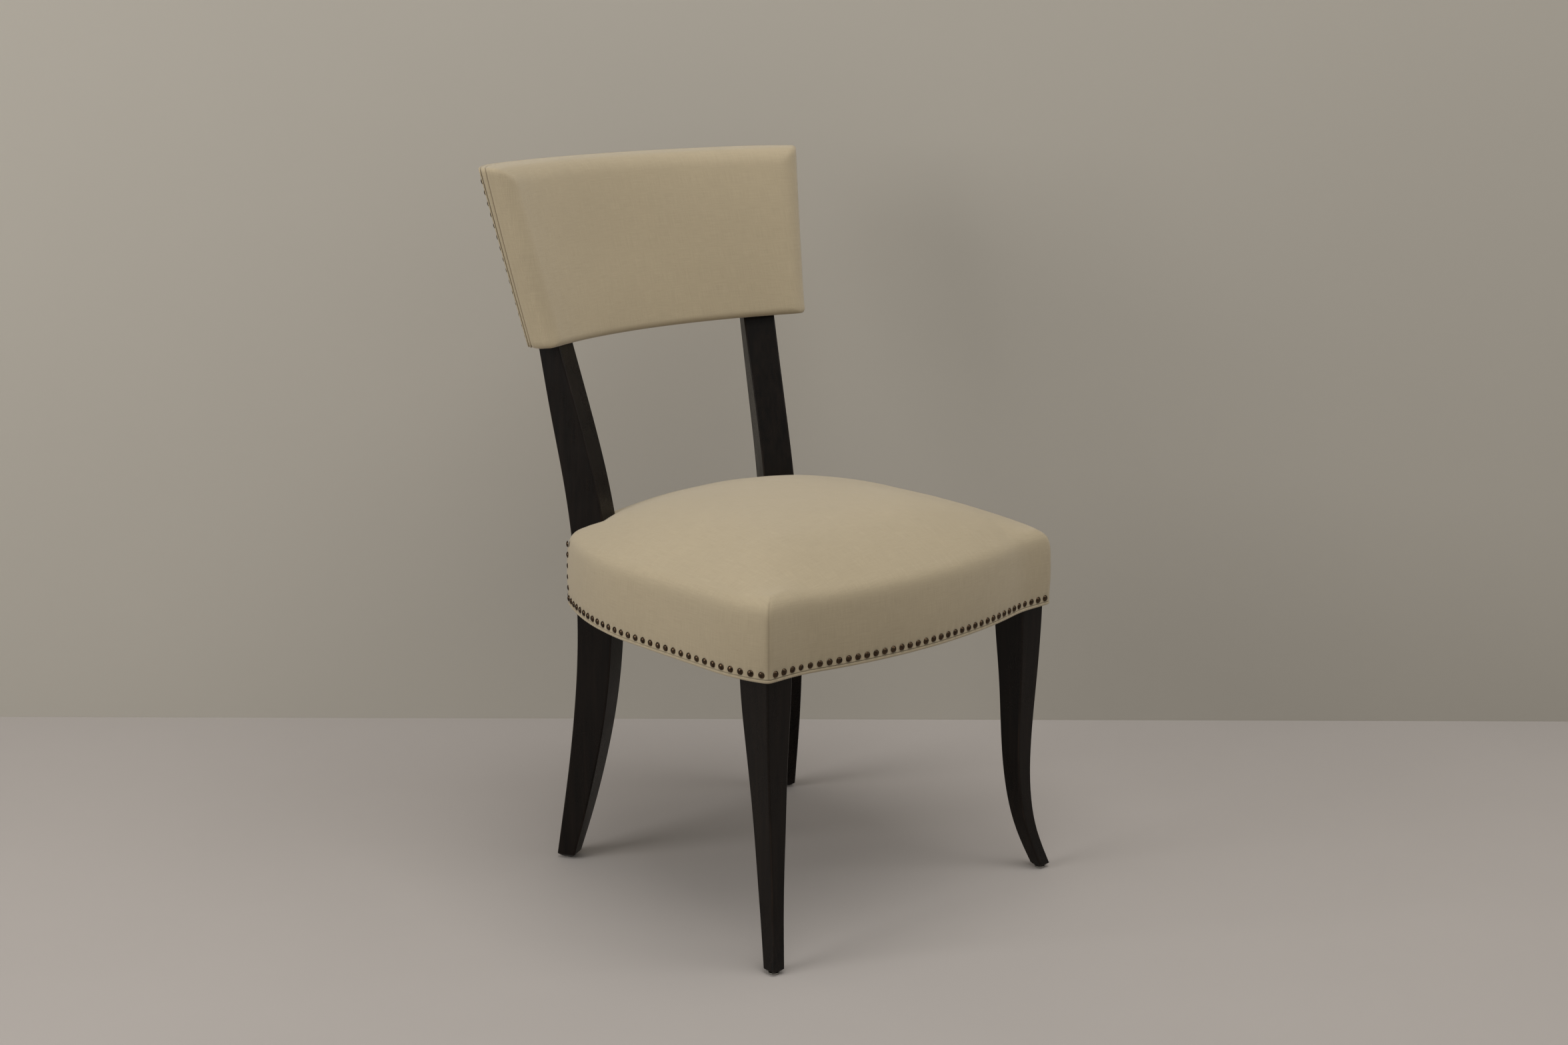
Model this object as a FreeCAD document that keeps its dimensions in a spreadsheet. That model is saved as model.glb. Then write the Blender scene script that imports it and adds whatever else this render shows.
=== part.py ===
import FreeCAD, Part
import math
import os
import Sketcher

# Klismos dining chair, millimetres, +Z up, the sitter faces -Y, left is -X.
# Every y size below is measured back from the line through the two front feet. The finished
# pieces are then moved together so that the origin is on the floor under the chair's middle.

V = FreeCAD.Vector
UP = V(0, 0, 1)

SIZES = {
    # fits
    "fit_gap": 0.3,
    "pin_gap": 0.1,
    # front legs: centre, width and depth of the section at each height
    "front_tip_z": 6, "front_tip_x": 234.5, "front_tip_y": -3.5, "front_tip_wide": 18, "front_tip_deep": 19,
    "front_ankle_z": 50, "front_ankle_x": 223.5, "front_ankle_y": 11, "front_ankle_wide": 19,
    "front_ankle_deep": 22,
    "front_calf_z": 100, "front_calf_x": 217, "front_calf_y": 20.5, "front_calf_wide": 21,
    "front_calf_deep": 26,
    "front_shin_z": 165, "front_shin_x": 214.7, "front_shin_y": 25, "front_shin_wide": 25.5,
    "front_shin_deep": 30.5,
    "front_knee_z": 255, "front_knee_x": 216.5, "front_knee_y": 27, "front_knee_wide": 32,
    "front_knee_deep": 39,
    "front_block_z": 350, "front_block_x": 216.6, "front_block_y": 29.5, "front_block_wide": 39,
    "front_block_deep": 49,
    # rear legs and back posts, one bent piece each, turned so that the face looks at the sitter
    "post_turn": 28.3,
    "rear_tip_z": 6, "rear_tip_x": 193, "rear_tip_y": 441.5, "rear_tip_wide": 25, "rear_tip_deep": 24.5,
    "rear_ankle_z": 50, "rear_ankle_x": 185.5, "rear_ankle_y": 434.5, "rear_ankle_wide": 31,
    "rear_ankle_deep": 30,
    "rear_calf_z": 110, "rear_calf_x": 177, "rear_calf_y": 425, "rear_calf_wide": 36.5, "rear_calf_deep": 36,
    "rear_shin_z": 200, "rear_shin_x": 166.8, "rear_shin_y": 414, "rear_shin_wide": 41, "rear_shin_deep": 43,
    "rear_knee_z": 300, "rear_knee_x": 159.6, "rear_knee_y": 408.7, "rear_knee_wide": 43,
    "rear_knee_deep": 47,
    "rear_seat_z": 400, "rear_seat_x": 157.4, "rear_seat_y": 414, "rear_seat_wide": 43, "rear_seat_deep": 48,
    "rear_waist_z": 500, "rear_waist_x": 160, "rear_waist_y": 430.5, "rear_waist_wide": 42,
    "rear_waist_deep": 45,
    "rear_stile_z": 600, "rear_stile_x": 166, "rear_stile_y": 455, "rear_stile_wide": 42,
    "rear_stile_deep": 38,
    "rear_pad_z": 690, "rear_pad_x": 172, "rear_pad_y": 477.5, "rear_pad_wide": 43, "rear_pad_deep": 27.5,
    "rear_top_x": 187, "rear_top_y": 524, "rear_top_wide": 42, "rear_top_deep": 20,
    "arris_radius": 2.5, "foot_chamfer": 4,
    "glide_radius": 6.5, "glide_height": 2.2, "glide_pin_radius": 1.5, "glide_pin_length": 14,
    # plan of the seat, to the face of the cover
    "seat_corner_x": 241, "seat_flat_forward": 2.5, "seat_bow_x": 186, "seat_bow_forward": 26,
    "seat_half_width": 257.7, "seat_side_front_y": 75, "seat_side_rear_y": 215,
    "seat_rear_corner_x": 208, "seat_rear_corner_y": 411, "seat_post_corner_x": 188,
    "seat_post_corner_y": 428.5, "seat_rear_y": 480,
    # heights of the seat
    "seat_bottom": 354, "rail_height": 60, "cover_wall_up": 71, "dome_foot_up": 89, "dome_rise": 57,
    "dome_middle_y": 200,
    # seat frame
    "cover_thick": 2, "rail_setback": 2.5, "front_rail_thick": 26, "side_rail_thick": 38,
    "rear_rail_thick": 26, "dowel_radius": 4.5, "dowel_length": 44, "dowel_spread": 26,
    "block_height": 40, "block_reach": 62, "screw_radius": 2, "screw_head_radius": 4,
    "screw_length": 48,
    "strap_wide": 50, "strap_thick": 1.2, "strap_pitch": 66, "strap_cross_first_y": 75,
    "strap_cross_pitch": 86, "deck_thick": 0.8,
    "welt_thick": 5, "welt_proud": 0.8, "dust_cover_thick": 0.8,
    # nailhead trim
    "nail_head_radius": 3.9, "nail_head_height": 2, "nail_shank_radius": 0.6, "nail_shank_length": 10,
    "nail_row_up": 10, "nail_front_pitch": 12.9, "nail_side_pitch": 14.2, "nail_rear_pitch": 14.2,
    "nail_corner_count": 5, "nail_edge": 11,
    # upholstered back: front surface is an arc in plan, sliding back and widening with height
    "back_bottom": 680, "back_height": 220, "back_radius": 420, "back_low_y": 475, "back_high_y": 545,
    "back_low_half": 213.5, "back_high_half": 242, "back_thick": 55, "back_end_thick": 37,
    "back_taper": 60,
    "back_soft_bottom": 8, "back_soft_top": 18, "back_soft_edge": 18,
    "frame_margin": 10, "frame_front": 12, "frame_rear": 50.3, "panel_thick": 4, "rear_board_thick": 2.1,
    "crest_rail_high": 28, "lower_rail_high": 32, "upright_thick": 14, "back_nail_pitch": 14,
    "panel_screw_first": 25, "panel_screw_pitch": 60,
}

doc = FreeCAD.newDocument("klismos_chair")
sheet = doc.addObject("Spreadsheet::Sheet", "Sizes")
for row, (name, value) in enumerate(SIZES.items(), start=1):
    sheet.set("A%d" % row, name)
    sheet.set("B%d" % row, str(value))
    sheet.setAlias("B%d" % row, name)
doc.recompute()


def size(name):
    return float(getattr(sheet, name))


NODES = {}
RAIL_BOTTOM = "(Sizes.seat_bottom + Sizes.welt_thick + Sizes.fit_gap)"
RAIL_TOP = "(Sizes.seat_bottom + Sizes.welt_thick + Sizes.fit_gap + Sizes.rail_height)"
BACK_TOP = "(Sizes.back_bottom + Sizes.back_height)"
rail_bottom = size("seat_bottom") + size("welt_thick") + size("fit_gap")
rail_top = rail_bottom + size("rail_height")
back_top = size("back_bottom") + size("back_height")


def node(label, shape):
    """A sub-part whose shape is worked out from the sheet."""
    piece = doc.addObject("Part::Feature", label)
    piece.Label = label
    piece.Shape = shape
    NODES[label] = piece
    return piece


def cut_node(label, base, holes):
    """A sub-part made of a body with its holes cut out of it."""
    base.Label = label + "_blank"
    drill = doc.addObject("Part::Feature", label + "_holes")
    drill.Shape = Part.makeCompound(holes)
    piece = doc.addObject("Part::Cut", label)
    piece.Label = label
    piece.Base = base
    piece.Tool = drill
    NODES[label] = piece
    return piece


def new_body(label):
    body = doc.addObject("PartDesign::Body", label)
    body.Label = label
    return body


def origin_plane(body, role):
    return next(item for item in body.Origin.OriginFeatures if item.Role == role)


def plan_sketch(body, name, geometry, height):
    """A sketch that lies flat at a height, given as an expression of the sheet."""
    sketch = body.newObject("Sketcher::SketchObject", name)
    sketch.AttachmentSupport = (origin_plane(body, "XY_Plane"), "")
    sketch.MapMode = "FlatFace"
    sketch.addGeometry(geometry, False)
    sketch.setExpression("AttachmentOffset.Base.z", height)
    return sketch


def rounded_rectangle(body, name, wide, deep, place, turn, grow=0.0):
    """Section of a leg: a rounded rectangle about its own centre. Sizes are expressions."""
    half_x, half_y, radius = 20.0, 20.0, 3.0
    centres = [(half_x - radius, -half_y + radius), (half_x - radius, half_y - radius),
               (-half_x + radius, half_y - radius), (-half_x + radius, -half_y + radius)]
    arcs = []
    for quarter, (x, y) in enumerate(centres):
        start = (quarter - 1) * math.pi / 2
        circle = Part.Circle(V(x, y, 0), UP, radius)
        arcs.append(Part.ArcOfCircle(circle, start, start + math.pi / 2))
    geometry = []
    for quarter in range(4):
        geometry.append(arcs[quarter])
        geometry.append(Part.LineSegment(arcs[quarter].EndPoint, arcs[(quarter + 1) % 4].StartPoint))
    sketch = plan_sketch(body, name, geometry, place[2])
    count = len(geometry)
    for index in range(count):
        sketch.addConstraint(Sketcher.Constraint("Tangent", index, 2, (index + 1) % count, 1))
    sketch.addConstraint([Sketcher.Constraint("Vertical", 1), Sketcher.Constraint("Horizontal", 3),
                          Sketcher.Constraint("Vertical", 5), Sketcher.Constraint("Horizontal", 7),
                          Sketcher.Constraint("Equal", 0, 2), Sketcher.Constraint("Equal", 0, 4),
                          Sketcher.Constraint("Equal", 0, 6),
                          Sketcher.Constraint("Symmetric", 0, 3, 4, 3, -1, 1)])
    across = sketch.addConstraint(Sketcher.Constraint("DistanceX", 5, 1, 1, 1, 2 * half_x))
    along = sketch.addConstraint(Sketcher.Constraint("DistanceY", 7, 1, 3, 1, 2 * half_y))
    corner = sketch.addConstraint(Sketcher.Constraint("Radius", 0, radius))
    extra = " + 2 * %s" % grow if grow else ""
    sketch.setExpression("Constraints[%d]" % across, wide + extra)
    sketch.setExpression("Constraints[%d]" % along, deep + extra)
    sketch.setExpression("Constraints[%d]" % corner, "Sizes.arris_radius")
    height = sketch.AttachmentOffset.Base.z
    sketch.AttachmentOffset = FreeCAD.Placement(V(0, 0, height), FreeCAD.Rotation(UP, turn))
    sketch.setExpression("AttachmentOffset.Base.x", place[0])
    sketch.setExpression("AttachmentOffset.Base.y", place[1])
    return sketch


def loft(body, name, sections, ruled=False):
    feature = body.newObject("PartDesign::AdditiveLoft", name)
    feature.Profile = sections[0]
    feature.Sections = sections[1:]
    feature.Ruled = ruled
    return feature


# Legs

FRONT_STATIONS = ["tip", "ankle", "calf", "shin", "knee", "block"]
REAR_STATIONS = ["tip", "ankle", "calf", "shin", "knee", "seat", "waist", "stile", "pad"]


def station(body, leg, name, sign, turn, grow=0.0, height=None):
    prefix = "Sizes.%s_%s_" % (leg, name)
    place = ("%d * %sx" % (sign, prefix), prefix + "y", height or prefix + "z")
    sketch_name = "%s_%s" % (leg, name) if height is None else "%s_%s_top" % (leg, name)
    return rounded_rectangle(body, sketch_name, prefix + "wide", prefix + "deep", place, turn, grow)


def leg_body(label, leg, sign, names, last, turn, grow=0.0):
    """A bent leg: sections at rising heights, with a chamfered tip that stands on its glide."""
    body = new_body(label)
    sections = [station(body, leg, name, sign, turn, grow) for name in names] + last(body, grow)
    tip = "Sizes.%s_tip_" % leg
    tip_place = ("%d * %sx" % (sign, tip), tip + "y", "Sizes.glide_height + Sizes.pin_gap")
    narrow = " - 2 * Sizes.foot_chamfer"
    toe = rounded_rectangle(body, leg + "_toe", tip + "wide" + narrow, tip + "deep" + narrow, tip_place, turn)
    foot = rounded_rectangle(body, leg + "_foot", tip + "wide", tip + "deep",
                             (tip_place[0], tip_place[1], tip + "z"), turn)
    loft(body, "bend", sections)
    loft(body, "chamfer", [toe, foot], ruled=True)
    return body


def front_last(sign):
    def make(body, grow):
        return [station(body, "front", "block", sign, 0, grow, height=RAIL_TOP)]
    return make


POST_TOP = "(%s - Sizes.frame_margin - Sizes.crest_rail_high - Sizes.fit_gap)" % BACK_TOP


def rear_last(sign, turn):
    def make(body, grow):
        return [station(body, "rear", "top", sign, turn, grow, height=POST_TOP)]
    return make


def glide_shape(x, y):
    """A round foot glide: a disc with a rounded lower edge, and the pin that is driven into the leg."""
    radius, height = size("glide_radius"), size("glide_height")
    disc = Part.makeCylinder(radius, height)
    disc = disc.makeFillet(height / 3, [edge for edge in disc.Edges if edge.CenterOfMass.z < height / 2
                                        and edge.Closed])
    pin = Part.makeCylinder(size("glide_pin_radius"), height + size("glide_pin_length"))
    shape = disc.fuse(pin)
    shape.translate(V(x, y, 0))
    return shape


def glide_hole(x, y):
    radius = size("glide_pin_radius") + size("pin_gap")
    return Part.makeCylinder(radius, size("glide_height") + size("glide_pin_length") + 1, V(x, y, 0))


# Plan of the seat

def tangent_arc(start, corner):
    """Arc that leaves a straight side square to X at start and ends at the corner."""
    dx, dy = start.x - corner.x, corner.y - start.y
    radius = (dx * dx + dy * dy) / (2 * dx)
    centre = V(start.x - radius, start.y, 0)
    turn = math.atan2(corner.y - centre.y, corner.x - centre.x) / 2
    middle = centre + V(math.cos(turn), math.sin(turn), 0) * radius
    return Part.Arc(start, middle, corner).toShape()


def mirrored(edge):
    return edge.mirror(V(0, 0, 0), V(1, 0, 0))


flat_y = -size("seat_flat_forward")
bow_end = V(size("seat_bow_x"), flat_y, 0)
front_corner = V(size("seat_corner_x"), flat_y, 0)
side_front = V(size("seat_half_width"), size("seat_side_front_y"), 0)
side_rear = V(size("seat_half_width"), size("seat_side_rear_y"), 0)
rear_corner = V(size("seat_rear_corner_x"), size("seat_rear_corner_y"), 0)
post_corner = V(size("seat_post_corner_x"), size("seat_post_corner_y"), 0)

bow = Part.Arc(V(-bow_end.x, flat_y, 0), V(0, flat_y - size("seat_bow_forward"), 0), bow_end).toShape()
rear_arc = Part.Arc(post_corner, V(0, size("seat_rear_y"), 0), V(-post_corner.x, post_corner.y, 0)).toShape()
front_flat = Part.makeLine(bow_end, front_corner)
side_edges = [tangent_arc(side_front, front_corner), Part.makeLine(side_front, side_rear),
              tangent_arc(side_rear, rear_corner)]
rear_flat = Part.makeLine(rear_corner, post_corner)
half = [front_flat] + side_edges + [rear_flat]
outline = Part.Wire(Part.__sortEdges__([bow, rear_arc] + half + [mirrored(edge) for edge in half]))
dome_middle = V(0, size("dome_middle_y"), 0)


def inset(distance):
    """The seat's plan drawn in all round by a distance."""
    if distance == 0:
        return outline
    return outline.makeOffset2D(-distance, 2, False, False, False)


def slab(wire, bottom, top):
    face = Part.Face(wire)
    face.translate(V(0, 0, bottom))
    return face.extrude(V(0, 0, top - bottom))


def ring(outer, inner, bottom, top):
    return slab(inset(outer), bottom, top).cut(slab(inset(inner), bottom, top))


def dome(skin, bottom):
    """The upholstered seat below a skin of the given thickness: upright walls and a crowned top."""
    foot, wall_top = size("seat_bottom") + size("dome_foot_up"), size("seat_bottom") + size("cover_wall_up")
    rise = size("dome_rise")

    def drawn(share, height):
        wire = outline.copy()
        wire.scale(share * (1 - skin / size("seat_half_width")), dome_middle)
        wire.translate(V(0, 0, height))
        return wire

    wires = [drawn(1, wall_top), drawn(0.9915, foot - 4)]
    for share in (0.98, 0.96, 0.93, 0.89, 0.84, 0.78, 0.71, 0.63, 0.54, 0.44, 0.33, 0.2):
        wires.append(drawn(share, foot + rise * (1 - share ** 3.2) ** 1.14 - skin))
    wall = Part.Face(drawn(1, bottom)).extrude(V(0, 0, wall_top - bottom))
    return wall.fuse(Part.makeLoft(wires, True, True))


# Nails

def nail(point, outward, shanked=True):
    """A domed nail head on a surface, with its shank driven in or with the head alone."""
    radius, height = size("nail_head_radius"), size("nail_head_height")
    shank, length = size("nail_shank_radius"), size("nail_shank_length")
    sphere = (radius ** 2 + height ** 2) / (2 * height)
    half_way = math.asin(radius / sphere) / 2
    crown = V(sphere * math.sin(half_way), 0, height - sphere + sphere * math.cos(half_way))
    corners = [V(0, 0, -length), V(shank, 0, -length), V(shank, 0, 0)] if shanked else [V()]
    corners.append(V(radius, 0, 0))
    edges = [Part.makeLine(start, end) for start, end in zip(corners, corners[1:])]
    edges.append(Part.Arc(corners[-1], crown, V(0, 0, height)).toShape())
    profile = Part.Wire(edges + [Part.makeLine(V(0, 0, height), corners[0])])
    shape = Part.Face(profile).revolve(V(0, 0, 0), UP, 360)
    shape.Placement = FreeCAD.Placement(point + outward * size("pin_gap"), FreeCAD.Rotation(UP, outward))
    return shape


def nail_hole(point, outward):
    length = size("nail_shank_length") + 1
    radius = size("nail_shank_radius") + size("pin_gap") / 2
    return Part.makeCylinder(radius, length, point - outward * (length - 0.5), outward)


def along(edges, pitch, start_gap, end_gap):
    """Points and outward directions at an even pitch along part of the plan, at the nail row."""
    wire = Part.Wire(edges)
    points = wire.discretize(Distance=0.5)
    usable = wire.Length - start_gap - end_gap
    count = max(2, int(round(usable / pitch)) + 1)
    row = []
    for index in range(count):
        step = (start_gap + usable * index / (count - 1)) / wire.Length * (len(points) - 1)
        low = min(int(step), len(points) - 2)
        tangent = (points[low + 1] - points[low]).normalize()
        place = points[low] + (points[low + 1] - points[low]) * (step - low)
        outward = V(tangent.y, -tangent.x, 0)
        if outward.dot(place - dome_middle) < 0:
            outward = outward * -1
        row.append((place + V(0, 0, size("seat_bottom") + size("nail_row_up")), outward))
    return row


# Build the legs, and the room that each needs where it passes through the seat and the back

legs, post_room, leg_room = {}, {}, {}
for side, sign in (("left", -1), ("right", 1)):
    turn = -sign * size("post_turn")
    legs["front_leg_" + side] = leg_body("front_leg_" + side, "front", sign, FRONT_STATIONS,
                                         front_last(sign), 0)
    legs["rear_leg_" + side] = leg_body("rear_leg_" + side, "rear", sign, REAR_STATIONS,
                                        rear_last(sign, turn), turn)
    post_room[side] = leg_body("post_room_" + side, "rear", sign, REAR_STATIONS, rear_last(sign, turn), turn,
                               grow="Sizes.fit_gap")
    leg_room[side] = leg_body("leg_room_" + side, "front", sign, FRONT_STATIONS, front_last(sign), 0,
                              grow="Sizes.fit_gap")
doc.recompute()
room = [post_room[side].Shape for side in ("left", "right")]
front_room = [leg_room[side].Shape for side in ("left", "right")]

# Seat frame

setback = size("rail_setback")
front_ring = ring(setback, setback + size("front_rail_thick"), rail_bottom, rail_top)
side_ring = ring(setback, setback + size("side_rail_thick"), rail_bottom, rail_top)
rear_ring = ring(setback, setback + size("rear_rail_thick"), rail_bottom, rail_top)
leg_inner = size("front_block_x") - size("front_block_wide") / 2
leg_outer = size("front_block_x") + size("front_block_wide") / 2
leg_front = size("front_block_y") - size("front_block_deep") / 2
leg_back = size("front_block_y") + size("front_block_deep") / 2
gap = size("fit_gap")


def region(x0, x1, y0, y1):
    return Part.makeBox(x1 - x0, y1 - y0, size("rail_height"), V(x0, y0, rail_bottom))


def largest(shape):
    return max(shape.Solids, key=lambda solid: solid.Volume)


def mirror_shape(shape):
    return shape.mirror(V(0, 0, 0), V(1, 0, 0))


turn_angle = math.radians(size("post_turn"))
post_side = V(math.cos(turn_angle), -math.sin(turn_angle), 0)
post_back = V(math.sin(turn_angle), math.cos(turn_angle), 0)
seat_post = V(size("rear_seat_x"), size("rear_seat_y"), 0)


def outside_of(post, offset, low, high):
    """Everything on the outer side of an upright plane that is offset sideways from a right post."""
    start = post + post_side * offset + V(0, 0, low)
    points = [start + post_back * -400, start + post_back * 400, start + post_back * 400 + post_side * 400,
              start + post_back * -400 + post_side * 400]
    return Part.Face(Part.makePolygon(points + points[:1])).extrude(V(0, 0, high - low))


front_rail = front_ring.common(region(-leg_inner + gap, leg_inner - gap, -100, leg_back + 20)).cut(front_room)
past_leg = region(leg_inner - gap, leg_outer + gap, leg_front - 50, leg_back + gap)
past_post = outside_of(seat_post, size("rear_seat_wide") / 2 + gap, rail_bottom, rail_top)
side_rail = side_ring.common(region(leg_inner + gap, 400, leg_front, 600)).common(past_post)
side_rail = largest(side_rail.cut([past_leg, front_room[1], room[1]]))
between = outside_of(seat_post, -size("rear_seat_wide") / 2 - gap, rail_bottom, rail_top)
rear_rail = rear_ring.common(region(-400, 400, 350, 600)).cut([between, mirror_shape(between)] + room)
rear_rail = largest(rear_rail)
middle_z = (rail_bottom + rail_top) / 2


def dowel_pair(point, direction):
    """Two dowels, one above the other, across a joint face at the point."""
    length = size("dowel_length")
    pair = []
    for step in (-0.5, 0.5):
        centre = V(point.x, point.y, middle_z + step * size("dowel_spread"))
        pair.append((centre - direction * (length / 2), direction, length))
    return pair


def rods(places, extra_radius=0.0, extra_length=0.0):
    shapes = []
    for start, direction, length in places:
        begin = start - direction * extra_length
        shapes.append(Part.makeCylinder(size("dowel_radius") + extra_radius, length + 2 * extra_length, begin,
                                        direction))
    return shapes


def both_sides(places):
    """The same dowels or screws for the left side, mirrored."""
    other = []
    for start, way, length in places:
        other.append((V(-start.x, start.y, start.z), V(-way.x, way.y, way.z), length))
    return places + other


front_joint = V(leg_inner, (leg_front + flat_y + size("rail_setback") + size("front_rail_thick")) / 2, 0)
side_joint = V((leg_inner + leg_outer) / 2 + size("front_block_wide") / 4, leg_back, 0)
post_joint = seat_post + post_side * (size("rear_seat_wide") / 2)
rear_joint = seat_post - post_side * (size("rear_seat_wide") / 2) + post_back * (size("rear_seat_deep") / 4)
dowels = {
    "front_rail_dowels": both_sides(dowel_pair(front_joint, V(1, 0, 0))),
    "side_rail_front_dowels": both_sides(dowel_pair(side_joint, V(0, 1, 0))),
    "side_rail_rear_dowels": both_sides(dowel_pair(post_joint, post_side)),
    "rear_rail_dowels": both_sides(dowel_pair(rear_joint, post_side)),
}
dowel_holes = []
for label, places in dowels.items():
    node(label, Part.makeCompound(rods(places)))
    dowel_holes += rods(places, size("pin_gap"), 0.5)

# Corner blocks, glued and screwed into the four inside corners of the frame

block_low = rail_top - size("block_height") - 4
block_mid = block_low + size("block_height") / 2
reach = size("block_reach")
rail_inner_y = flat_y + size("rail_setback") + size("front_rail_thick") + gap
side_inner_x = size("seat_half_width") - size("rail_setback") - size("side_rail_thick") - gap


def block(corners):
    """Upright prism with the given corners in plan, as high as a corner block."""
    points = [V(x, y, block_low) for x, y in corners]
    prism = Part.Face(Part.makePolygon(points + points[:1])).extrude(V(0, 0, size("block_height")))
    return prism


def inner_room(thick, low_x, low_y):
    """Room for the rails of one thickness, in the part of the plan past two limits."""
    band_ring = ring(0, size("rail_setback") + thick + gap, rail_bottom, rail_top)
    return band_ring.common(region(low_x, 400, low_y, 600))


front_rail_rooms = [inner_room(size("front_rail_thick"), -400, -100),
                    inner_room(size("side_rail_thick"), leg_inner, 0)]
rear_rail_rooms = [inner_room(size("side_rail_thick"), seat_post.x, 100),
                   inner_room(size("rear_rail_thick"), 0, 350)]
front_block = block([(leg_inner - gap - reach, -10), (leg_inner - gap, -10),
                     (leg_inner - gap, leg_back + gap), (side_inner_x + 20, leg_back + gap),
                     (side_inner_x + 20, leg_back + reach + 5)])
front_block = largest(front_block.cut(front_rail_rooms + [front_room[1]]))
post_front = seat_post - post_back * (size("rear_seat_deep") / 2)
rear_inner = post_front - post_side * (size("rear_seat_wide") / 2 - 4)
rear_block = block([(rear_inner.x - 18, rear_inner.y + 30), (rear_inner.x - 18, rear_inner.y + 2),
                    (post_joint.x + 22, post_joint.y - reach - 30), (post_joint.x + 70, post_joint.y - 30)])
rear_block = largest(rear_block.cut(rear_rail_rooms + [room[1]]))


def screw_shape(start, direction, length):
    """A countersunk wood screw: start is the middle of its head."""
    head, radius = size("screw_head_radius"), size("screw_radius")
    cone = Part.makeCone(head, radius, head - radius, start, direction)
    shank = Part.makeCylinder(radius, length - 4, start, direction)
    point = Part.makeCone(radius, 0.3, 4, start + direction * (length - 4), direction)
    return cone.fuse([shank, point])


def screw_hole(start, direction, length):
    wide = size("pin_gap")
    cone = Part.makeCone(size("screw_head_radius") + wide, size("screw_radius") + wide,
                         size("screw_head_radius") - size("screw_radius"), start, direction)
    above = Part.makeCylinder(size("screw_head_radius") + wide, 30, start - direction * 30, direction)
    return cone.fuse([above, Part.makeCylinder(size("screw_radius") + wide, length + 0.5, start, direction)])


screw_length = size("screw_length")
hypotenuse = V(side_inner_x - (leg_inner - gap - reach), reach, 0).normalize()
into_corner = V(hypotenuse.y, -hypotenuse.x, 0)
front_mid = V((leg_inner - reach + side_inner_x) / 2, leg_back - 2, block_mid)
block_screws = []
for shift in (-16, 16):
    block_screws.append((front_mid + hypotenuse * shift - into_corner * 4, into_corner, screw_length))
rear_mid = V((rear_inner.x + post_joint.x + 22) / 2, (rear_inner.y + post_joint.y - reach - 34) / 2,
             block_mid)
rear_way = post_back * 0.72 + V(0.69, 0, 0)
rear_way.normalize()
rear_along = V(rear_way.y, -rear_way.x, 0)
for shift in (-14, 14):
    block_screws.append((rear_mid + rear_along * shift + rear_way * 6, rear_way, screw_length))
block_screws = both_sides(block_screws)
node("corner_block_screws", Part.makeCompound([screw_shape(*place) for place in block_screws]))
screw_holes = [screw_hole(*place) for place in block_screws]

# Seat nails

nail_front = along([mirrored(front_flat), bow, front_flat], size("nail_front_pitch"), 10.5, 10.5)
nail_side = along(side_edges, size("nail_side_pitch"), 9, 8)
nail_rear = along([rear_flat, rear_arc, mirrored(rear_flat)], size("nail_rear_pitch"), 8, 8)
corner_place, corner_out = nail_side[-1]
if corner_place.y < nail_side[0][0].y:
    corner_place, corner_out = nail_side[0]
for count in range(1, int(size("nail_corner_count")) + 1):
    nail_side.append((corner_place + V(0, 0, count * size("nail_side_pitch")), corner_out))
mirror_row = [(V(-p.x, p.y, p.z), V(-out.x, out.y, 0)) for p, out in nail_side]
nail_rows = {"seat_nails_front": nail_front, "seat_nails_right": nail_side, "seat_nails_left": mirror_row,
             "seat_nails_rear": nail_rear}
nail_holes = []
for label, places in nail_rows.items():
    node(label, Part.makeCompound([nail(*place) for place in places]))
    nail_holes += [nail_hole(*place) for place in places]


def near(shape, tools):
    """The tools whose boxes reach into the shape's box."""
    box = shape.BoundBox
    return [tool for tool in tools if box.intersect(tool.BoundBox)]


def drilled(shape, tools):
    chosen = near(shape, tools)
    return shape.cut(chosen) if chosen else shape


frame_holes = dowel_holes + screw_holes + nail_holes
node("front_rail", drilled(front_rail, frame_holes))
node("rear_rail", drilled(rear_rail, frame_holes))
for side, place in (("right", lambda shape: shape), ("left", mirror_shape)):
    node("side_rail_" + side, drilled(place(side_rail), frame_holes))
    node("corner_block_front_" + side, drilled(place(front_block), screw_holes))
    node("corner_block_rear_" + side, drilled(place(rear_block), screw_holes))

# Webbing, deck cloth, foam and cover of the seat

strap_z = rail_top + gap
straps = {"webbing_lengthwise": [], "webbing_crosswise": []}
for index in range(4):
    x = (index - 1.5) * size("strap_pitch")
    edge_x = abs(x) + size("strap_wide") / 2
    front_end = flat_y - size("seat_bow_forward") * (1 - (edge_x / size("seat_bow_x")) ** 2) + 8
    rear_end = size("seat_rear_y") - edge_x ** 2 / 740 - 8
    straps["webbing_lengthwise"].append(
        Part.makeBox(size("strap_wide"), rear_end - front_end, size("strap_thick"),
                     V(x - size("strap_wide") / 2, front_end, strap_z)))
    y = size("strap_cross_first_y") + index * size("strap_cross_pitch")
    past = max(0.0, y + size("strap_wide") / 2 - size("seat_side_rear_y"))
    reach_x = size("seat_half_width") - 8 - past ** 2 / 800
    straps["webbing_crosswise"].append(
        Part.makeBox(2 * reach_x, size("strap_wide"), size("strap_thick"),
                     V(-reach_x, y - size("strap_wide") / 2, strap_z + size("strap_thick") + gap)))
for label, boxes in straps.items():
    node(label, Part.makeCompound(boxes))

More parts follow.
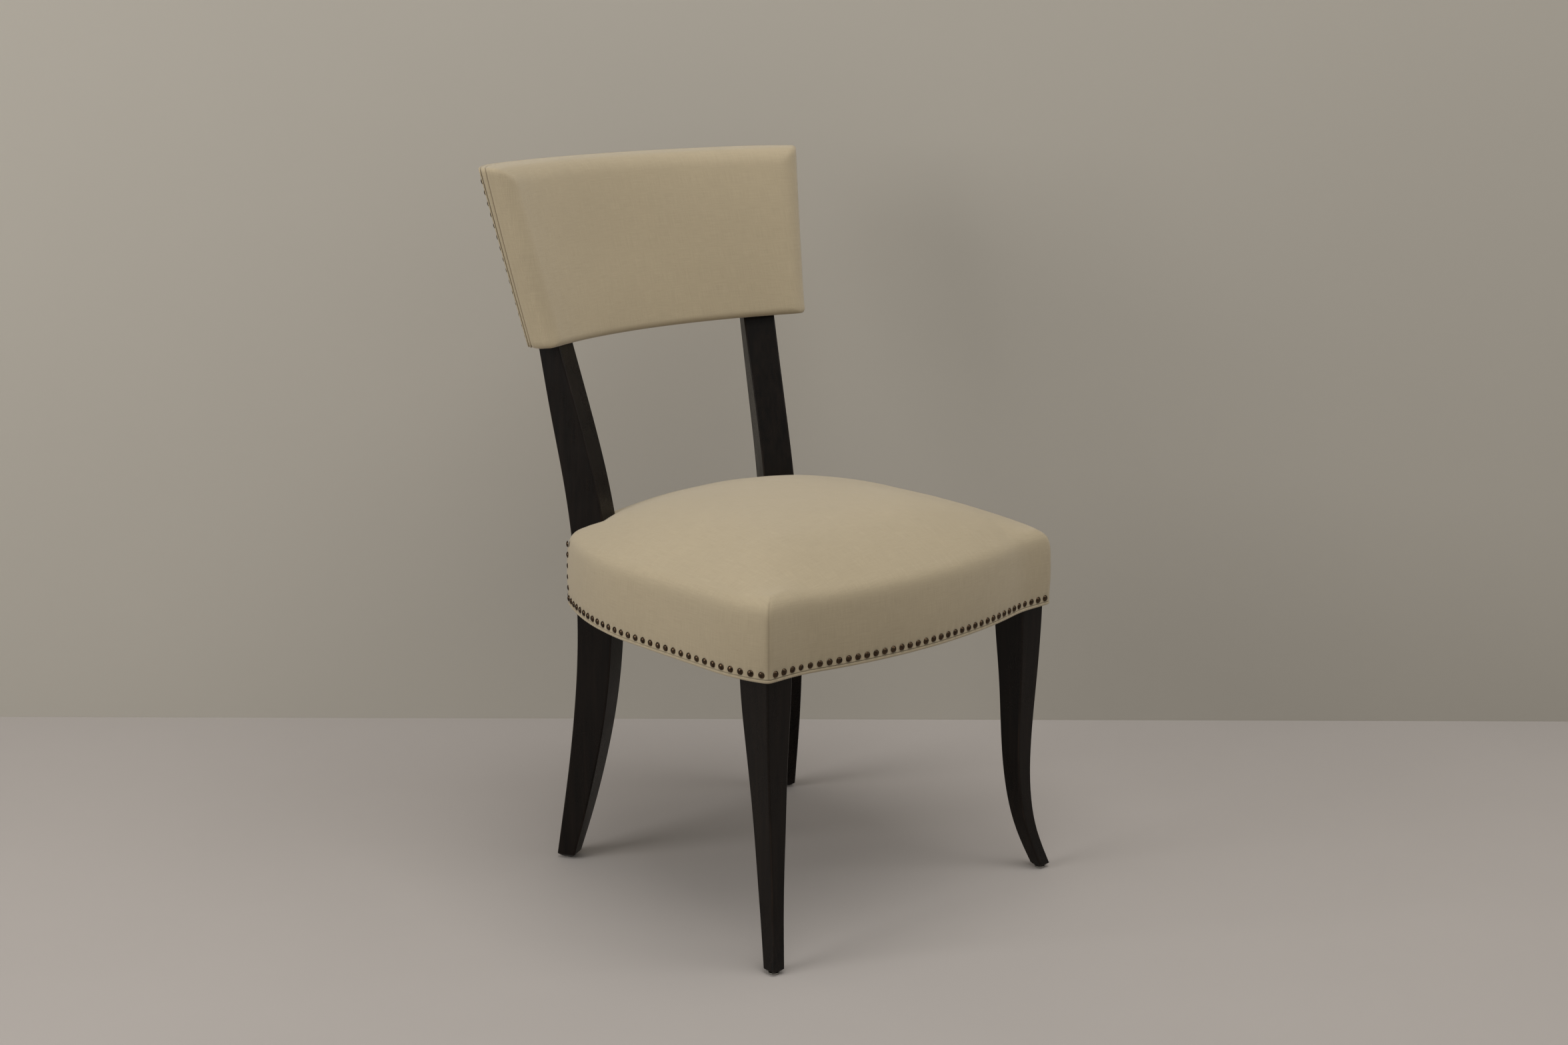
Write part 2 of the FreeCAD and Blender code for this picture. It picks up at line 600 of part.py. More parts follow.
deck_z = strap_z + 2 * (size("strap_thick") + gap)
skin = size("cover_thick")
node("seat_deck", slab(inset(skin + 3), deck_z, deck_z + size("deck_thick")).cut(room))
foam_z = deck_z + size("deck_thick") + gap
node("seat_foam", drilled(dome(skin + gap, foam_z).cut(room), nail_holes))
cover_bottom = size("seat_bottom") + size("welt_thick")
cover = dome(0, cover_bottom).cut(dome(skin, cover_bottom - 5).common(
    Part.makeBox(800, 800, 400, V(-400, -100, cover_bottom - 1))))
node("seat_cover", drilled(largest(cover.cut(room)), nail_holes))

dust_top = cover_bottom
node("dust_cover", slab(inset(size("welt_thick")), dust_top - size("dust_cover_thick"), dust_top).cut(
    front_room + room))
welt_out = slab(inset(-size("welt_proud")), size("seat_bottom"), cover_bottom - gap)
welt = welt_out.cut(slab(inset(size("welt_thick") - size("welt_proud") - gap), size("seat_bottom") - 1,
                         cover_bottom + 1))
node("seat_welt", largest(welt.cut(front_room + room)))


# Upholstered back

def back_share(height):
    return (height - size("back_bottom")) / size("back_height")


def back_arc(height):
    """Centre of the arc of the back's front surface at a height, and the angle of its ends."""
    share = back_share(height)
    middle_y = size("back_low_y") + share * (size("back_high_y") - size("back_low_y"))
    half_wide = size("back_low_half") + share * (size("back_high_half") - size("back_low_half"))
    return V(0, middle_y - size("back_radius"), height), math.asin(half_wide / size("back_radius"))


def polar(centre, angle, radius):
    return centre + V(math.sin(angle), math.cos(angle), 0) * radius


def flipped(point):
    return V(-point.x, point.y, point.z)


def tapered(height, depth, trim):
    """End and shoulder of a face in the rear half: past the shoulder the back gets thinner."""
    centre, end = back_arc(height)
    radius = size("back_radius") + depth
    turned = size("back_taper") / (size("back_radius") + size("back_thick"))
    tip = polar(centre, end, radius - size("back_thick") + size("back_end_thick"))
    shoulder = polar(centre, end - turned, radius)
    return tip + (shoulder - tip) * (trim / size("back_radius") / turned), shoulder


def rear_edges(height, depth, trim):
    """The rear face of a layer in plan, from the right end to the left."""
    centre, end = back_arc(height)
    middle = polar(centre, 0, size("back_radius") + depth)
    if depth < size("back_thick") / 2:
        tip = polar(centre, end - trim / size("back_radius"), size("back_radius") + depth)
        return tip, [Part.Arc(tip, middle, flipped(tip)).toShape()]
    tip, shoulder = tapered(height, depth, trim)
    return tip, [Part.makeLine(tip, shoulder), Part.Arc(shoulder, middle, flipped(shoulder)).toShape(),
                 Part.makeLine(flipped(shoulder), flipped(tip))]


def band(height, near, far, trim, corner=0.0, thin=False):
    """Plan of a layer of the back between two depths; a thin layer tapers on both faces."""
    centre, end = back_arc(height)
    tip, rear = rear_edges(height, far, trim)
    if thin:
        near_tip, front = rear_edges(height, near, trim)
        return Part.Wire(rear + [Part.makeLine(flipped(tip), flipped(near_tip))] + front[::-1]
                         + [Part.makeLine(near_tip, tip)])
    radius = size("back_radius") + near
    end -= trim / size("back_radius")
    turned = math.asin(corner / (radius + corner))
    start = polar(centre, end, math.sqrt((radius + corner) ** 2 - corner ** 2))
    finish = polar(centre, end - turned, radius)
    front = [Part.Arc(flipped(finish), polar(centre, 0, radius), finish).toShape()]
    if corner:
        round_middle = polar(centre, end - turned, radius + corner)
        bulge = round_middle + (start + finish - round_middle * 2).normalize() * corner
        front = [Part.Arc(flipped(start), flipped(bulge), flipped(finish)).toShape()] + front
        front.append(Part.Arc(finish, bulge, start).toShape())
    left_end, right_end = Part.makeLine(flipped(tip), flipped(start)), Part.makeLine(start, tip)
    return Part.Wire(rear + [left_end] + front + [right_end])


def layer(low, high, near, far, trim, thin=False):
    return Part.makeLoft([band(low, near, far, trim, thin=thin), band(high, near, far, trim, thin=thin)], True,
                         True)


def pad(inward, rear_off):
    """The padded back drawn in by a distance: soft edges in front, at the ends, top and bottom."""
    low, high = size("back_bottom") + inward, back_top - inward
    soft_low, soft_high = size("back_soft_bottom") - inward, size("back_soft_top") - inward
    turns = [step * math.pi / 14 for step in range(8)]
    levels = [(low + soft_low * (1 - math.cos(turn)), soft_low * (1 - math.sin(turn))) for turn in turns]
    levels += [(high - soft_high * (1 - math.cos(turn)), soft_high * (1 - math.sin(turn)))
               for turn in reversed(turns)]
    corner = size("back_soft_edge") - inward
    wires = [band(height, inward + soft, rear_off, inward + soft / 2, corner) for height, soft in levels]
    return Part.makeLoft(wires, True, True)


margin, thick = size("frame_margin"), size("back_thick")
lean_back = (size("back_high_y") - size("back_low_y")) / size("back_height")
frame_low, frame_high = size("back_bottom") + margin, back_top - margin
frame_front, frame_rear = size("frame_front"), size("frame_rear")
cover_rear = thick - skin - gap
front_shell = pad(0, cover_rear).cut(pad(skin, cover_rear + 20))
node("back_front_cover", largest(front_shell.cut(room)))
frame_room = layer(frame_low - gap, frame_high + gap, frame_front - gap, cover_rear + 20, margin - gap)
node("back_foam", largest(pad(skin + gap, frame_rear).cut(frame_room).cut(room)))
rail_front = frame_front + size("panel_thick") + gap
crest_low = frame_high - size("crest_rail_high")
panel = layer(frame_low, frame_high, frame_front, frame_front + size("panel_thick"), margin)
crest = layer(crest_low, frame_high, rail_front, frame_rear, margin)
upright = layer(frame_low, crest_low - gap, rail_front, frame_rear, margin)
upright = upright.cut(layer(frame_low - 1, frame_high, rail_front - 1, frame_rear + 9,
                            margin + size("upright_thick"))).cut(room)
uprights = sorted(upright.Solids, key=lambda solid: solid.CenterOfMass.x)
lower = layer(frame_low, frame_low + size("lower_rail_high"), rail_front, frame_rear, margin)
pad_post = V(size("rear_pad_x"), size("rear_pad_y"), 0)
past_post = outside_of(pad_post, -size("rear_pad_wide") / 2 - 2 * gap, frame_low - 1, frame_high)
lower = largest(lower.cut([past_post, mirror_shape(past_post)] + room))

# Dowels that stand in the tops of the posts, and screws of the panel

lean = V(size("rear_top_x") - size("rear_pad_x"), size("rear_top_y") - size("rear_pad_y"),
         frame_high - size("crest_rail_high") - size("rear_pad_z")).normalize()
post_top = V(size("rear_top_x"), size("rear_top_y"), frame_high - size("crest_rail_high"))
crest_dowels = []
for shift in (-11, 11):
    middle = post_top + post_side * shift
    crest_dowels.append((middle - lean * 22, lean, 40.0))
crest_dowels = both_sides(crest_dowels)
node("crest_rail_dowels", Part.makeCompound(rods(crest_dowels)))
crest_holes = rods(crest_dowels, size("pin_gap"), 0.5)

panel_screws = []
for index in range(3):
    height = size("back_bottom") + size("panel_screw_first") + index * size("panel_screw_pitch")
    share = (height - size("rear_pad_z")) / (post_top.z - size("rear_pad_z"))
    axis_x = size("rear_pad_x") + share * (size("rear_top_x") - size("rear_pad_x"))
    centre = back_arc(height)[0]
    angle = math.asin(axis_x / (size("back_radius") + frame_front))
    way = V(math.sin(angle), math.cos(angle), -lean_back * math.cos(angle)).normalize()
    panel_screws.append((polar(centre, angle, size("back_radius") + frame_front), way, 20.0))
panel_screws = both_sides(panel_screws)
node("back_panel_screws", Part.makeCompound([screw_shape(*place) for place in panel_screws]))
panel_holes = [screw_hole(*place) for place in panel_screws]


# Outside back with its board and nails

edge = size("nail_edge")
back_nails = []


def back_nail_row(height):
    """Places and outward directions of a level row of nails across the outside back."""
    centre, end = back_arc(height)
    radius = size("back_radius") + thick
    tip, shoulder = tapered(height, thick, 0)
    tip_above, shoulder_above = tapered(height + 1, thick, 0)
    limit = end - size("back_taper") / radius
    half_length = (shoulder - tip).Length + radius * limit - edge
    count = int(round(2 * half_length / size("back_nail_pitch")))
    row = []
    for index in range(count + 1):
        reach_out = half_length * (2 * index / count - 1)
        angle = abs(reach_out) / radius
        if angle <= limit:
            place = polar(centre, angle, radius)
            way = V(math.sin(angle), math.cos(angle), -lean_back * math.cos(angle))
        else:
            share = (abs(reach_out) - limit * radius) / (shoulder - tip).Length
            place = shoulder + (tip - shoulder) * share
            above = shoulder_above + (tip_above - shoulder_above) * share
            way = (above - place).cross(tip - shoulder)
            way = way if way.y > 0 else way * -1
        if reach_out < 0:
            place, way = flipped(place), flipped(way)
        row.append((place, way.normalize()))
    return row


nail_low, nail_high = size("back_bottom") + edge + 3, back_top - edge - 5
rows = int(round((nail_high - nail_low) / size("back_nail_pitch")))
for index in range(rows + 1):
    row = back_nail_row(nail_low + (nail_high - nail_low) * index / rows)
    back_nails += row if index in (0, rows) else [row[0], row[-1]]
node("outside_back_nails", Part.makeCompound([nail(*place, shanked=False) for place in back_nails]))

board = layer(frame_low - 4, frame_high + 2, frame_rear + gap, frame_rear + gap + size("rear_board_thick"), 4.0,
              thin=True)
soft_low, soft_high = size("back_soft_bottom"), size("back_soft_top")
turns = [
    (size("back_bottom"), soft_low / 2),
    (size("back_bottom") + 0.3 * soft_low, soft_low * 0.15),
    (size("back_bottom") + soft_low, 0),
    (back_top - soft_high, 0),
    (back_top - 0.3 * soft_high, soft_high * 0.15),
    (back_top, soft_high / 2),
]
outside_plans = [band(height, thick - skin, thick, trim, thin=True) for height, trim in turns]
outside = Part.makeLoft(outside_plans, True, True)
node("outside_back_cover", largest(outside.cut(room)))
node("back_rear_board", largest(board.cut(room)))
node("back_panel", drilled(panel, panel_holes))
node("back_crest_rail", drilled(crest, crest_holes))
node("back_lower_rail", lower)
for side, solid in (("left", uprights[0]), ("right", uprights[1])):
    node("back_end_upright_" + side, solid)

# Holes of the legs, and the glides

leg_holes = dowel_holes + screw_holes + crest_holes + panel_holes + nail_holes
for side, sign in (("left", -1), ("right", 1)):
    for leg in ("front", "rear"):
        x, y = sign * size(leg + "_tip_x"), size(leg + "_tip_y")
        node("glide_%s_%s" % (leg, side), glide_shape(x, y))
        label = "%s_leg_%s" % (leg, side)
        base = legs[label]
        cut_node(label, base, near(base.Shape, leg_holes) + [glide_hole(x, y)])

# Move every finished piece so that the origin is under the middle of the chair

front_most = flat_y - size("seat_bow_forward") - size("nail_head_height") - size("pin_gap")
rear_most = size("back_high_y") + thick
centre_y = (front_most + rear_most) / 2
to_middle = FreeCAD.Placement(V(0, -centre_y, 0), FreeCAD.Rotation())
for piece in NODES.values():
    piece.Placement = to_middle * piece.Placement
doc.recompute()

for item in doc.Objects:
    if "Invalid" in item.State or "Error" in item.State:
        raise RuntimeError("%s failed: %s" % (item.Label, item.State))
broken = [label for label, piece in NODES.items() if piece.Shape.isNull() or not piece.Shape.isValid()]
if broken:
    raise RuntimeError("No valid shape: " + ", ".join(broken))

os.makedirs("parts", exist_ok=True)
for label, piece in NODES.items():
    piece.Shape.exportStep("parts/%s.step" % label)
    box = piece.Shape.BoundBox
    print("%-24s %3d solids %9.1f cm3  x %.1f to %.1f, y %.1f to %.1f, z %.1f to %.1f" % (
        label, len(piece.Shape.Solids), piece.Shape.Volume / 1000, box.XMin, box.XMax, box.YMin, box.YMax,
        box.ZMin, box.ZMax))
box = Part.makeCompound([piece.Shape for piece in NODES.values()]).BoundBox
print("box x %.1f to %.1f, y %.1f to %.1f, z %.1f to %.1f" % (box.XMin, box.XMax, box.YMin, box.YMax,
                                                             box.ZMin, box.ZMax))
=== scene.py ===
import math

import bmesh
import bpy
import numpy as np
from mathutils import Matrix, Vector, noise


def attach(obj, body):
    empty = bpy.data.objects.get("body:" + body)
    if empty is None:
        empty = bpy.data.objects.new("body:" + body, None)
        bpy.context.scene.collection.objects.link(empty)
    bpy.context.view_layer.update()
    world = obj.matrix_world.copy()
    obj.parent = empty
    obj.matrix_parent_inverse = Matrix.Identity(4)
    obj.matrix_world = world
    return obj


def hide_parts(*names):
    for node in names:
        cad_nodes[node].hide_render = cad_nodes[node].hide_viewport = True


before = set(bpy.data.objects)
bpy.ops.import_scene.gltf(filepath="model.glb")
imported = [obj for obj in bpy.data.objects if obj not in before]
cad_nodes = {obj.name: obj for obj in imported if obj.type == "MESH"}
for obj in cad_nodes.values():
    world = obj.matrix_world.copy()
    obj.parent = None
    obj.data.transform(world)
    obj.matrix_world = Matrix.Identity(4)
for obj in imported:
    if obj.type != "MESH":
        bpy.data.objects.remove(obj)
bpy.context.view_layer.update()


# The set. A pale floor with a pale wall behind, lit by large soft lamps above and in front.
# The camera stands to the front left of the chair and looks a little down on it.

camera_data = bpy.data.cameras.new("camera")
camera_data.sensor_fit = "HORIZONTAL"
camera_data.sensor_width = 36
camera_data.lens = 51.5
camera = bpy.data.objects.new("camera", camera_data)
camera.location = (-1.8586, -2.0681, 1.1435)
camera.rotation_euler = (math.radians(75.97), 0, math.radians(-42.66))
bpy.context.scene.collection.objects.link(camera)
bpy.context.scene.camera = camera
bpy.context.scene.view_settings.view_transform = "Standard"


def new_material(name):
    material = bpy.data.materials.new(name)
    material.use_nodes = True
    tree = material.node_tree
    return material, tree, tree.nodes["Principled BSDF"]


def add(tree, kind, settings=None, **values):
    """A node with its settings, and with its sockets set by name or linked from other sockets."""
    node = tree.nodes.new(kind)
    for key, value in (settings or {}).items():
        setattr(node, key, value)
    for key, value in values.items():
        wire(tree, value, node.inputs[int(key[1:]) if key[0] == "i" and key[1:].isdigit() else key])
    return node


def wire(tree, value, socket):
    if isinstance(value, bpy.types.NodeSocket):
        tree.links.new(value, socket)
    else:
        socket.default_value = value


def calc(tree, operation, a, b=0.0, c=0.5):
    return add(tree, "ShaderNodeMath", {"operation": operation}, i0=a, i1=b, i2=c).outputs[0]


def blend_colour(tree, share, first, second, way="MIX"):
    """Two colours mixed by a share from 0 to 1. Sockets 6 and 7 are the colours of the mix."""
    node = add(tree, "ShaderNodeMix", {"data_type": "RGBA", "blend_type": way, "clamp_factor": True},
               i0=share, i6=first, i7=second)
    return node.outputs[2]


def spread(tree, value, low, high, to_low=0.0, to_high=1.0):
    """A value's range from low to high, spread over another range and held inside it."""
    node = add(tree, "ShaderNodeMapRange", {"clamp": True}, i0=value, i1=low, i2=high, i3=to_low,
               i4=to_high)
    return node.outputs[0]


def finish_mesh(name, vertices, faces, material, smooth=True):
    """An object at the origin, made of vertices in metres and faces that point outwards."""
    mesh = bpy.data.meshes.new(name)
    mesh.from_pydata([tuple(map(float, vertex)) for vertex in vertices], [],
                     [tuple(face) for face in faces])
    mesh.update()
    for each in (material if isinstance(material, list) else [material]):
        mesh.materials.append(each)
    if smooth:
        mesh.polygons.foreach_set("use_smooth", [True] * len(mesh.polygons))
    piece = bpy.data.objects.new(name, mesh)
    bpy.context.scene.collection.objects.link(piece)
    return piece


def stage_plane(name, corners, colour, mottle):
    """A plane of the set, clear when it is looked at from behind or below."""
    material, tree, shader = new_material(name)
    place = add(tree, "ShaderNodeTexCoord").outputs["Object"]
    patches = add(tree, "ShaderNodeTexNoise", Vector=place, Scale=1.3, Detail=5.0, Roughness=0.6)
    darker = tuple(part * (1 - mottle) for part in colour[:3]) + (1,)
    wire(tree, blend_colour(tree, patches.outputs["Fac"], darker, colour), shader.inputs["Base Color"])
    shader.inputs["Roughness"].default_value = 0.75
    back = add(tree, "ShaderNodeNewGeometry").outputs["Backfacing"]
    clear = add(tree, "ShaderNodeBsdfTransparent").outputs[0]
    mixed = add(tree, "ShaderNodeMixShader", i0=back, i1=shader.outputs[0], i2=clear)
    tree.links.new(mixed.outputs[0], tree.nodes["Material Output"].inputs["Surface"])
    finish_mesh(name, corners, [(0, 1, 2, 3)], material, smooth=False)


stage_plane("floor", [(-9, -9, 0), (9, -9, 0), (9, 9, 0), (-9, 9, 0)], (0.405, 0.370, 0.350, 1),
            mottle=0.10)
wall_foot = [Vector((-1.78, 2.40, 0)), Vector((4.03, -3.05, 0))]
wall_along = (wall_foot[1] - wall_foot[0]).normalized()
wall_left, wall_right = wall_foot[0] - wall_along * 5, wall_foot[1] + wall_along * 3
wall_high = Vector((0, 0, 5))
stage_plane("wall", [wall_left, wall_right, wall_right + wall_high, wall_left + wall_high],
            (0.402, 0.372, 0.326, 1), mottle=0.05)


def lamp(name, place, target, size, watts, colour=(1, 1, 1)):
    """A square soft lamp, turned to its target."""
    data = bpy.data.lights.new(name, "AREA")
    data.shape, data.size, data.energy, data.color = "SQUARE", size, watts, colour
    light = bpy.data.objects.new(name, data)
    light.location = place
    light.rotation_euler = (Vector(target) - Vector(place)).to_track_quat("-Z", "Y").to_euler()
    bpy.context.scene.collection.objects.link(light)


lamp("overhead", (-0.2, -0.8, 3.2), (0, 0, 0.4), 2.4, 50, (1.0, 0.985, 0.95))
lamp("front_right", (1.9, -2.6, 2.3), (0, 0, 0.5), 1.6, 16, (1.0, 0.98, 0.95))
lamp("left", (-3.2, 0.8, 1.7), (0, 0, 0.45), 1.6, 50, (1.0, 0.99, 0.97))
lamp("behind", (0.5, 3.0, 2.4), (0, 0, 0.6), 1.8, 14)
world = bpy.data.worlds.new("room")
bpy.context.scene.world = world
world.use_nodes = True
room_light = world.node_tree.nodes["Background"]
room_light.inputs["Color"].default_value = (0.86, 0.87, 0.84, 1)
room_light.inputs["Strength"].default_value = 0.50


# Legs and back posts. Hardwood sawn to a sweep, with eased arrises, stained espresso brown and
# sprayed with satin lacquer. The rear legs run up as one piece into the padded back.

foot_line = -284.7


def metres(points):
    """Millimetres measured back from the line through the front feet, to metres in the frame."""
    points = np.asarray(points, float)
    return (points + np.array([0, foot_line, 0])) / 1000


def through(stations, heights):
    """Sizes at any height, on a smooth curve through a leg's stations."""
    rows = np.array(stations, float)
    level, rows = rows[:, 0], rows[:, 1:]
    step = np.diff(level)
    slope = np.diff(rows, axis=0) / step[:, None]
    system, right_side = np.eye(len(level)), np.zeros_like(rows)
    for index in range(1, len(level) - 1):
        before, after = step[index - 1], step[index]
        system[index, index - 1:index + 2] = before, 2 * (before + after), after
        right_side[index] = 6 * (slope[index] - slope[index - 1])
    bend = np.linalg.solve(system, right_side)
    sizes = []
    for height in heights:
        index = min(max(int(np.searchsorted(level, height)) - 1, 0), len(step) - 1)
        span, down, up = step[index], level[index + 1] - height, height - level[index]
        lower, upper = bend[index], bend[index + 1]
        sizes.append(lower * down ** 3 / (6 * span) + upper * up ** 3 / (6 * span)
                     + (rows[index] / span - lower * span / 6) * down
                     + (rows[index + 1] / span - upper * span / 6) * up)
    return sizes


def section(x, y, wide, deep, turn, arris, steps=5):
    """Rounded rectangle in plan, counter-clockwise from above, turned about its own middle."""
    points = []
    for quarter, (side, back) in enumerate(((1, -1), (1, 1), (-1, 1), (-1, -1))):
        for step in range(steps):
            angle = (quarter - 1) * math.pi / 2 + step / (steps - 1) * math.pi / 2
            points.append((side * (wide / 2 - arris) + arris * math.cos(angle),
                           back * (deep / 2 - arris) + arris * math.sin(angle)))
    cos, sin = math.cos(turn), math.sin(turn)
    return [(x + across * cos - along * sin, y + across * sin + along * cos)
            for across, along in points]


def sabre(name, stations, side, turn, material, grow=0.0, low=None):
    """A leg built up from sections; with grow it is the room that the leg takes up."""
    arris, steps = 2.5, 5
    glide_top, foot_bevel = 2.3, 8
    foot, top = stations[0][0], stations[-1][0]
    heights = [foot] + list(np.arange(foot + 10, top - 6, 11)) + [top]
    if low is not None:
        heights = [z for z in heights if z >= low]
    rings = []
    if low is None and not grow:
        x, y, wide, deep = stations[0][1:]
        sole = section(side * x, y, wide - foot_bevel, deep - foot_bevel, turn, arris, steps)
        rings.append([(px, py, glide_top) for px, py in sole])
    for height, (x, y, wide, deep) in zip(heights, through(stations, heights)):
        cut = section(side * x, y, wide + 2 * grow, deep + 2 * grow, turn, arris + grow, steps)
        rings.append([(px, py, height) for px, py in cut])
    count = len(rings[0])
    vertices = metres([point for ring in rings for point in ring])
    faces = [list(range(count))[::-1], [(len(rings) - 1) * count + index for index in range(count)]]
    for start in range(0, (len(rings) - 1) * count, count):
        for index in range(count):
            after = (index + 1) % count
            faces.append([start + index, start + after, start + count + after, start + count + index])
    piece = finish_mesh(name, vertices, faces, material)
    if grow:
        return piece
    # The arris share lightens the lacquer along the arrises: partly wear, partly a painted highlight.
    arris_wear_and_highlight = piece.data.attributes.new("arris", "FLOAT", "POINT")
    share = [math.sin(math.pi * step / (steps - 1)) for step in range(steps)] * 4 * len(rings)
    arris_wear_and_highlight.data.foreach_set("value", share)
    sharpen(piece.data, 38)
    piece.modifiers.new("flat faces", "WEIGHTED_NORMAL").keep_sharp = True
    return piece


def sharpen(mesh, degrees):
    """Marks the edges that turn more than so many degrees as sharp."""
    shape = bmesh.new()
    shape.from_mesh(mesh)
    for edge in shape.edges:
        edge.smooth = len(edge.link_faces) == 2 and edge.calc_face_angle() < math.radians(degrees)
    shape.to_mesh(mesh)
    shape.free()


def new_group(name, inputs, outputs):
    """A group of nodes for more than one finish, with what it is given and what it puts out."""
    group = bpy.data.node_groups.new(name, "ShaderNodeTree")
    for label, kind, value in inputs:
        socket = group.interface.new_socket(label, in_out="INPUT", socket_type=kind)
        if value is not None:
            socket.default_value = value
    for label, kind in outputs:
        group.interface.new_socket(label, in_out="OUTPUT", socket_type=kind)
    return group, group.nodes.new("NodeGroupInput").outputs, group.nodes.new("NodeGroupOutput").inputs


FLOAT, VECTOR = "NodeSocketFloat", "NodeSocketVector"

# Grain runs up the piece: long soft streaks, and short fine pores.
grain, given, put_out = new_group(
    "wood grain", [("Place", VECTOR, None), ("Fineness", FLOAT, 1.0)],
    [("Streaks", FLOAT), ("Pores", FLOAT)])
drawn_out = add(grain, "ShaderNodeMapping", Vector=given["Place"], Scale=(1, 1, 0.045))
finer = add(grain, "ShaderNodeVectorMath", {"operation": "SCALE"}, i0=drawn_out.outputs[0])
wire(grain, given["Fineness"], finer.inputs["Scale"])
warp = add(grain, "ShaderNodeTexNoise", Vector=finer.outputs[0], Scale=30.0, Detail=2.0)
bent = add(grain, "ShaderNodeVectorMath", {"operation": "MULTIPLY_ADD"}, i0=warp.outputs["Color"],
           i1=(0.02, 0.02, 0.02), i2=finer.outputs[0])
streak = add(grain, "ShaderNodeTexNoise", Vector=bent.outputs[0], Scale=180.0, Detail=6.0,
             Roughness=0.62)
wire(grain, spread(grain, streak.outputs["Fac"], 0.34, 0.68), put_out["Streaks"])
pore = add(grain, "ShaderNodeTexNoise", Vector=bent.outputs[0], Scale=1500.0, Detail=2.0,
           Roughness=0.5)
wire(grain, spread(grain, pore.outputs["Fac"], 0.56, 0.70), put_out["Pores"])

# Handling leaves faint smears, and dust that lies on what faces up.
handling, given, put_out = new_group(
    "handling", [("Place", VECTOR, None), ("Size", FLOAT, 14.0)],
    [("Smears", FLOAT), ("Dust", FLOAT)])
smear = add(handling, "ShaderNodeTexNoise", Vector=given["Place"], Scale=given["Size"],
            Detail=4.0, Roughness=0.55, Distortion=0.6)
wire(handling, spread(handling, smear.outputs["Fac"], 0.35, 0.7), put_out["Smears"])
surface = add(handling, "ShaderNodeNewGeometry")
facing = add(handling, "ShaderNodeSeparateXYZ", Vector=surface.outputs["Normal"])
speck = add(handling, "ShaderNodeTexNoise", Vector=given["Place"], Scale=900.0, Detail=3.0,
            Roughness=0.8)
lying = calc(handling, "MULTIPLY", spread(handling, facing.outputs["Z"], 0.25, 0.9),
             spread(handling, speck.outputs["Fac"], 0.5, 0.72))
wire(handling, lying, put_out["Dust"])


def use_group(tree, group, **values):
    return add(tree, "ShaderNodeGroup", {"node_tree": group}, **values)


def wood_finish(name, dark, light, fineness, roughness, shine=0.5, pore_depth=0.00003, edge=None):
    """A wood from its dark and light grain; edge is the lighter colour along the arrises, partly lacquer
    worn through and partly a painted highlight.
    """
    material, tree, shader = new_material(name)
    place = add(tree, "ShaderNodeTexCoord").outputs["Object"]
    grained = use_group(tree, grain, Place=place, Fineness=fineness)
    handled = use_group(tree, handling, Place=place)
    colour = blend_colour(tree, grained.outputs["Streaks"], dark, light)
    in_pores = tuple(part * 0.45 for part in dark[:3]) + (1,)
    colour = blend_colour(tree, calc(tree, "MULTIPLY", grained.outputs["Pores"], 0.5), colour, in_pores)
    if edge:
        # Arrises are lightened: partly lacquer worn through, partly a painted highlight.
        arris_wear_and_highlight = add(tree, "ShaderNodeAttribute", {"attribute_name": "arris"}).outputs["Fac"]
        worn = calc(tree, "MULTIPLY", calc(tree, "POWER", arris_wear_and_highlight, 2.0),
                    spread(tree, handled.outputs["Smears"], 0.25, 0.9, 0.15, 0.75))
        colour = blend_colour(tree, worn, colour, edge)
    dust = (0.45, 0.43, 0.40, 1)
    colour = blend_colour(tree, calc(tree, "MULTIPLY", handled.outputs["Dust"], 0.025), colour, dust)
    wire(tree, colour, shader.inputs["Base Color"])
    dull = calc(tree, "MULTIPLY_ADD", handled.outputs["Smears"], 0.10, roughness)
    wire(tree, calc(tree, "ADD", dull, calc(tree, "MULTIPLY", grained.outputs["Pores"], 0.12)),
         shader.inputs["Roughness"])
    shader.inputs["Specular IOR Level"].default_value = shine
    relief = calc(tree, "SUBTRACT", calc(tree, "MULTIPLY", grained.outputs["Streaks"], 0.35),
                  grained.outputs["Pores"])
    bump = add(tree, "ShaderNodeBump", Height=relief, Strength=0.5, Distance=pore_depth)
    wire(tree, bump.outputs[0], shader.inputs["Normal"])
    return material


# The light edge colour is partly wear and partly a painted highlight on the arrises.
lacquer = wood_finish("espresso_lacquer", (0.0030, 0.0021, 0.0016, 1), (0.0085, 0.0054, 0.0038, 1),
                      1.0, 0.25, shine=0.15, pore_depth=0.00002, edge=(0.022, 0.014, 0.010, 1))

# Each station is a height, the middle of the leg across and back, its width and its depth.
front_stations = [(6, 234.5, -3.5, 18, 19), (50, 223.5, 11, 19, 22), (100, 217, 20.5, 21, 26),
                  (165, 214.7, 25, 25.5, 30.5), (255, 216.5, 27, 32, 39), (350, 216.6, 29.5, 39, 49),
                  (419.3, 216.6, 29.5, 39, 49)]
rear_stations = [(6, 193, 441.5, 25, 24.5), (50, 185.5, 434.5, 31, 30), (110, 177, 425, 36.5, 36),
                 (200, 166.8, 414, 41, 43), (300, 159.6, 408.7, 43, 47), (400, 157.4, 414, 43, 48),
                 (500, 160, 430.5, 42, 45), (600, 166, 455, 42, 38), (690, 172, 477.5, 43, 27.5),
                 (861.7, 187, 524, 42, 20)]
post_turn = math.radians(28.3)
post_room_low = 300
cutters = []
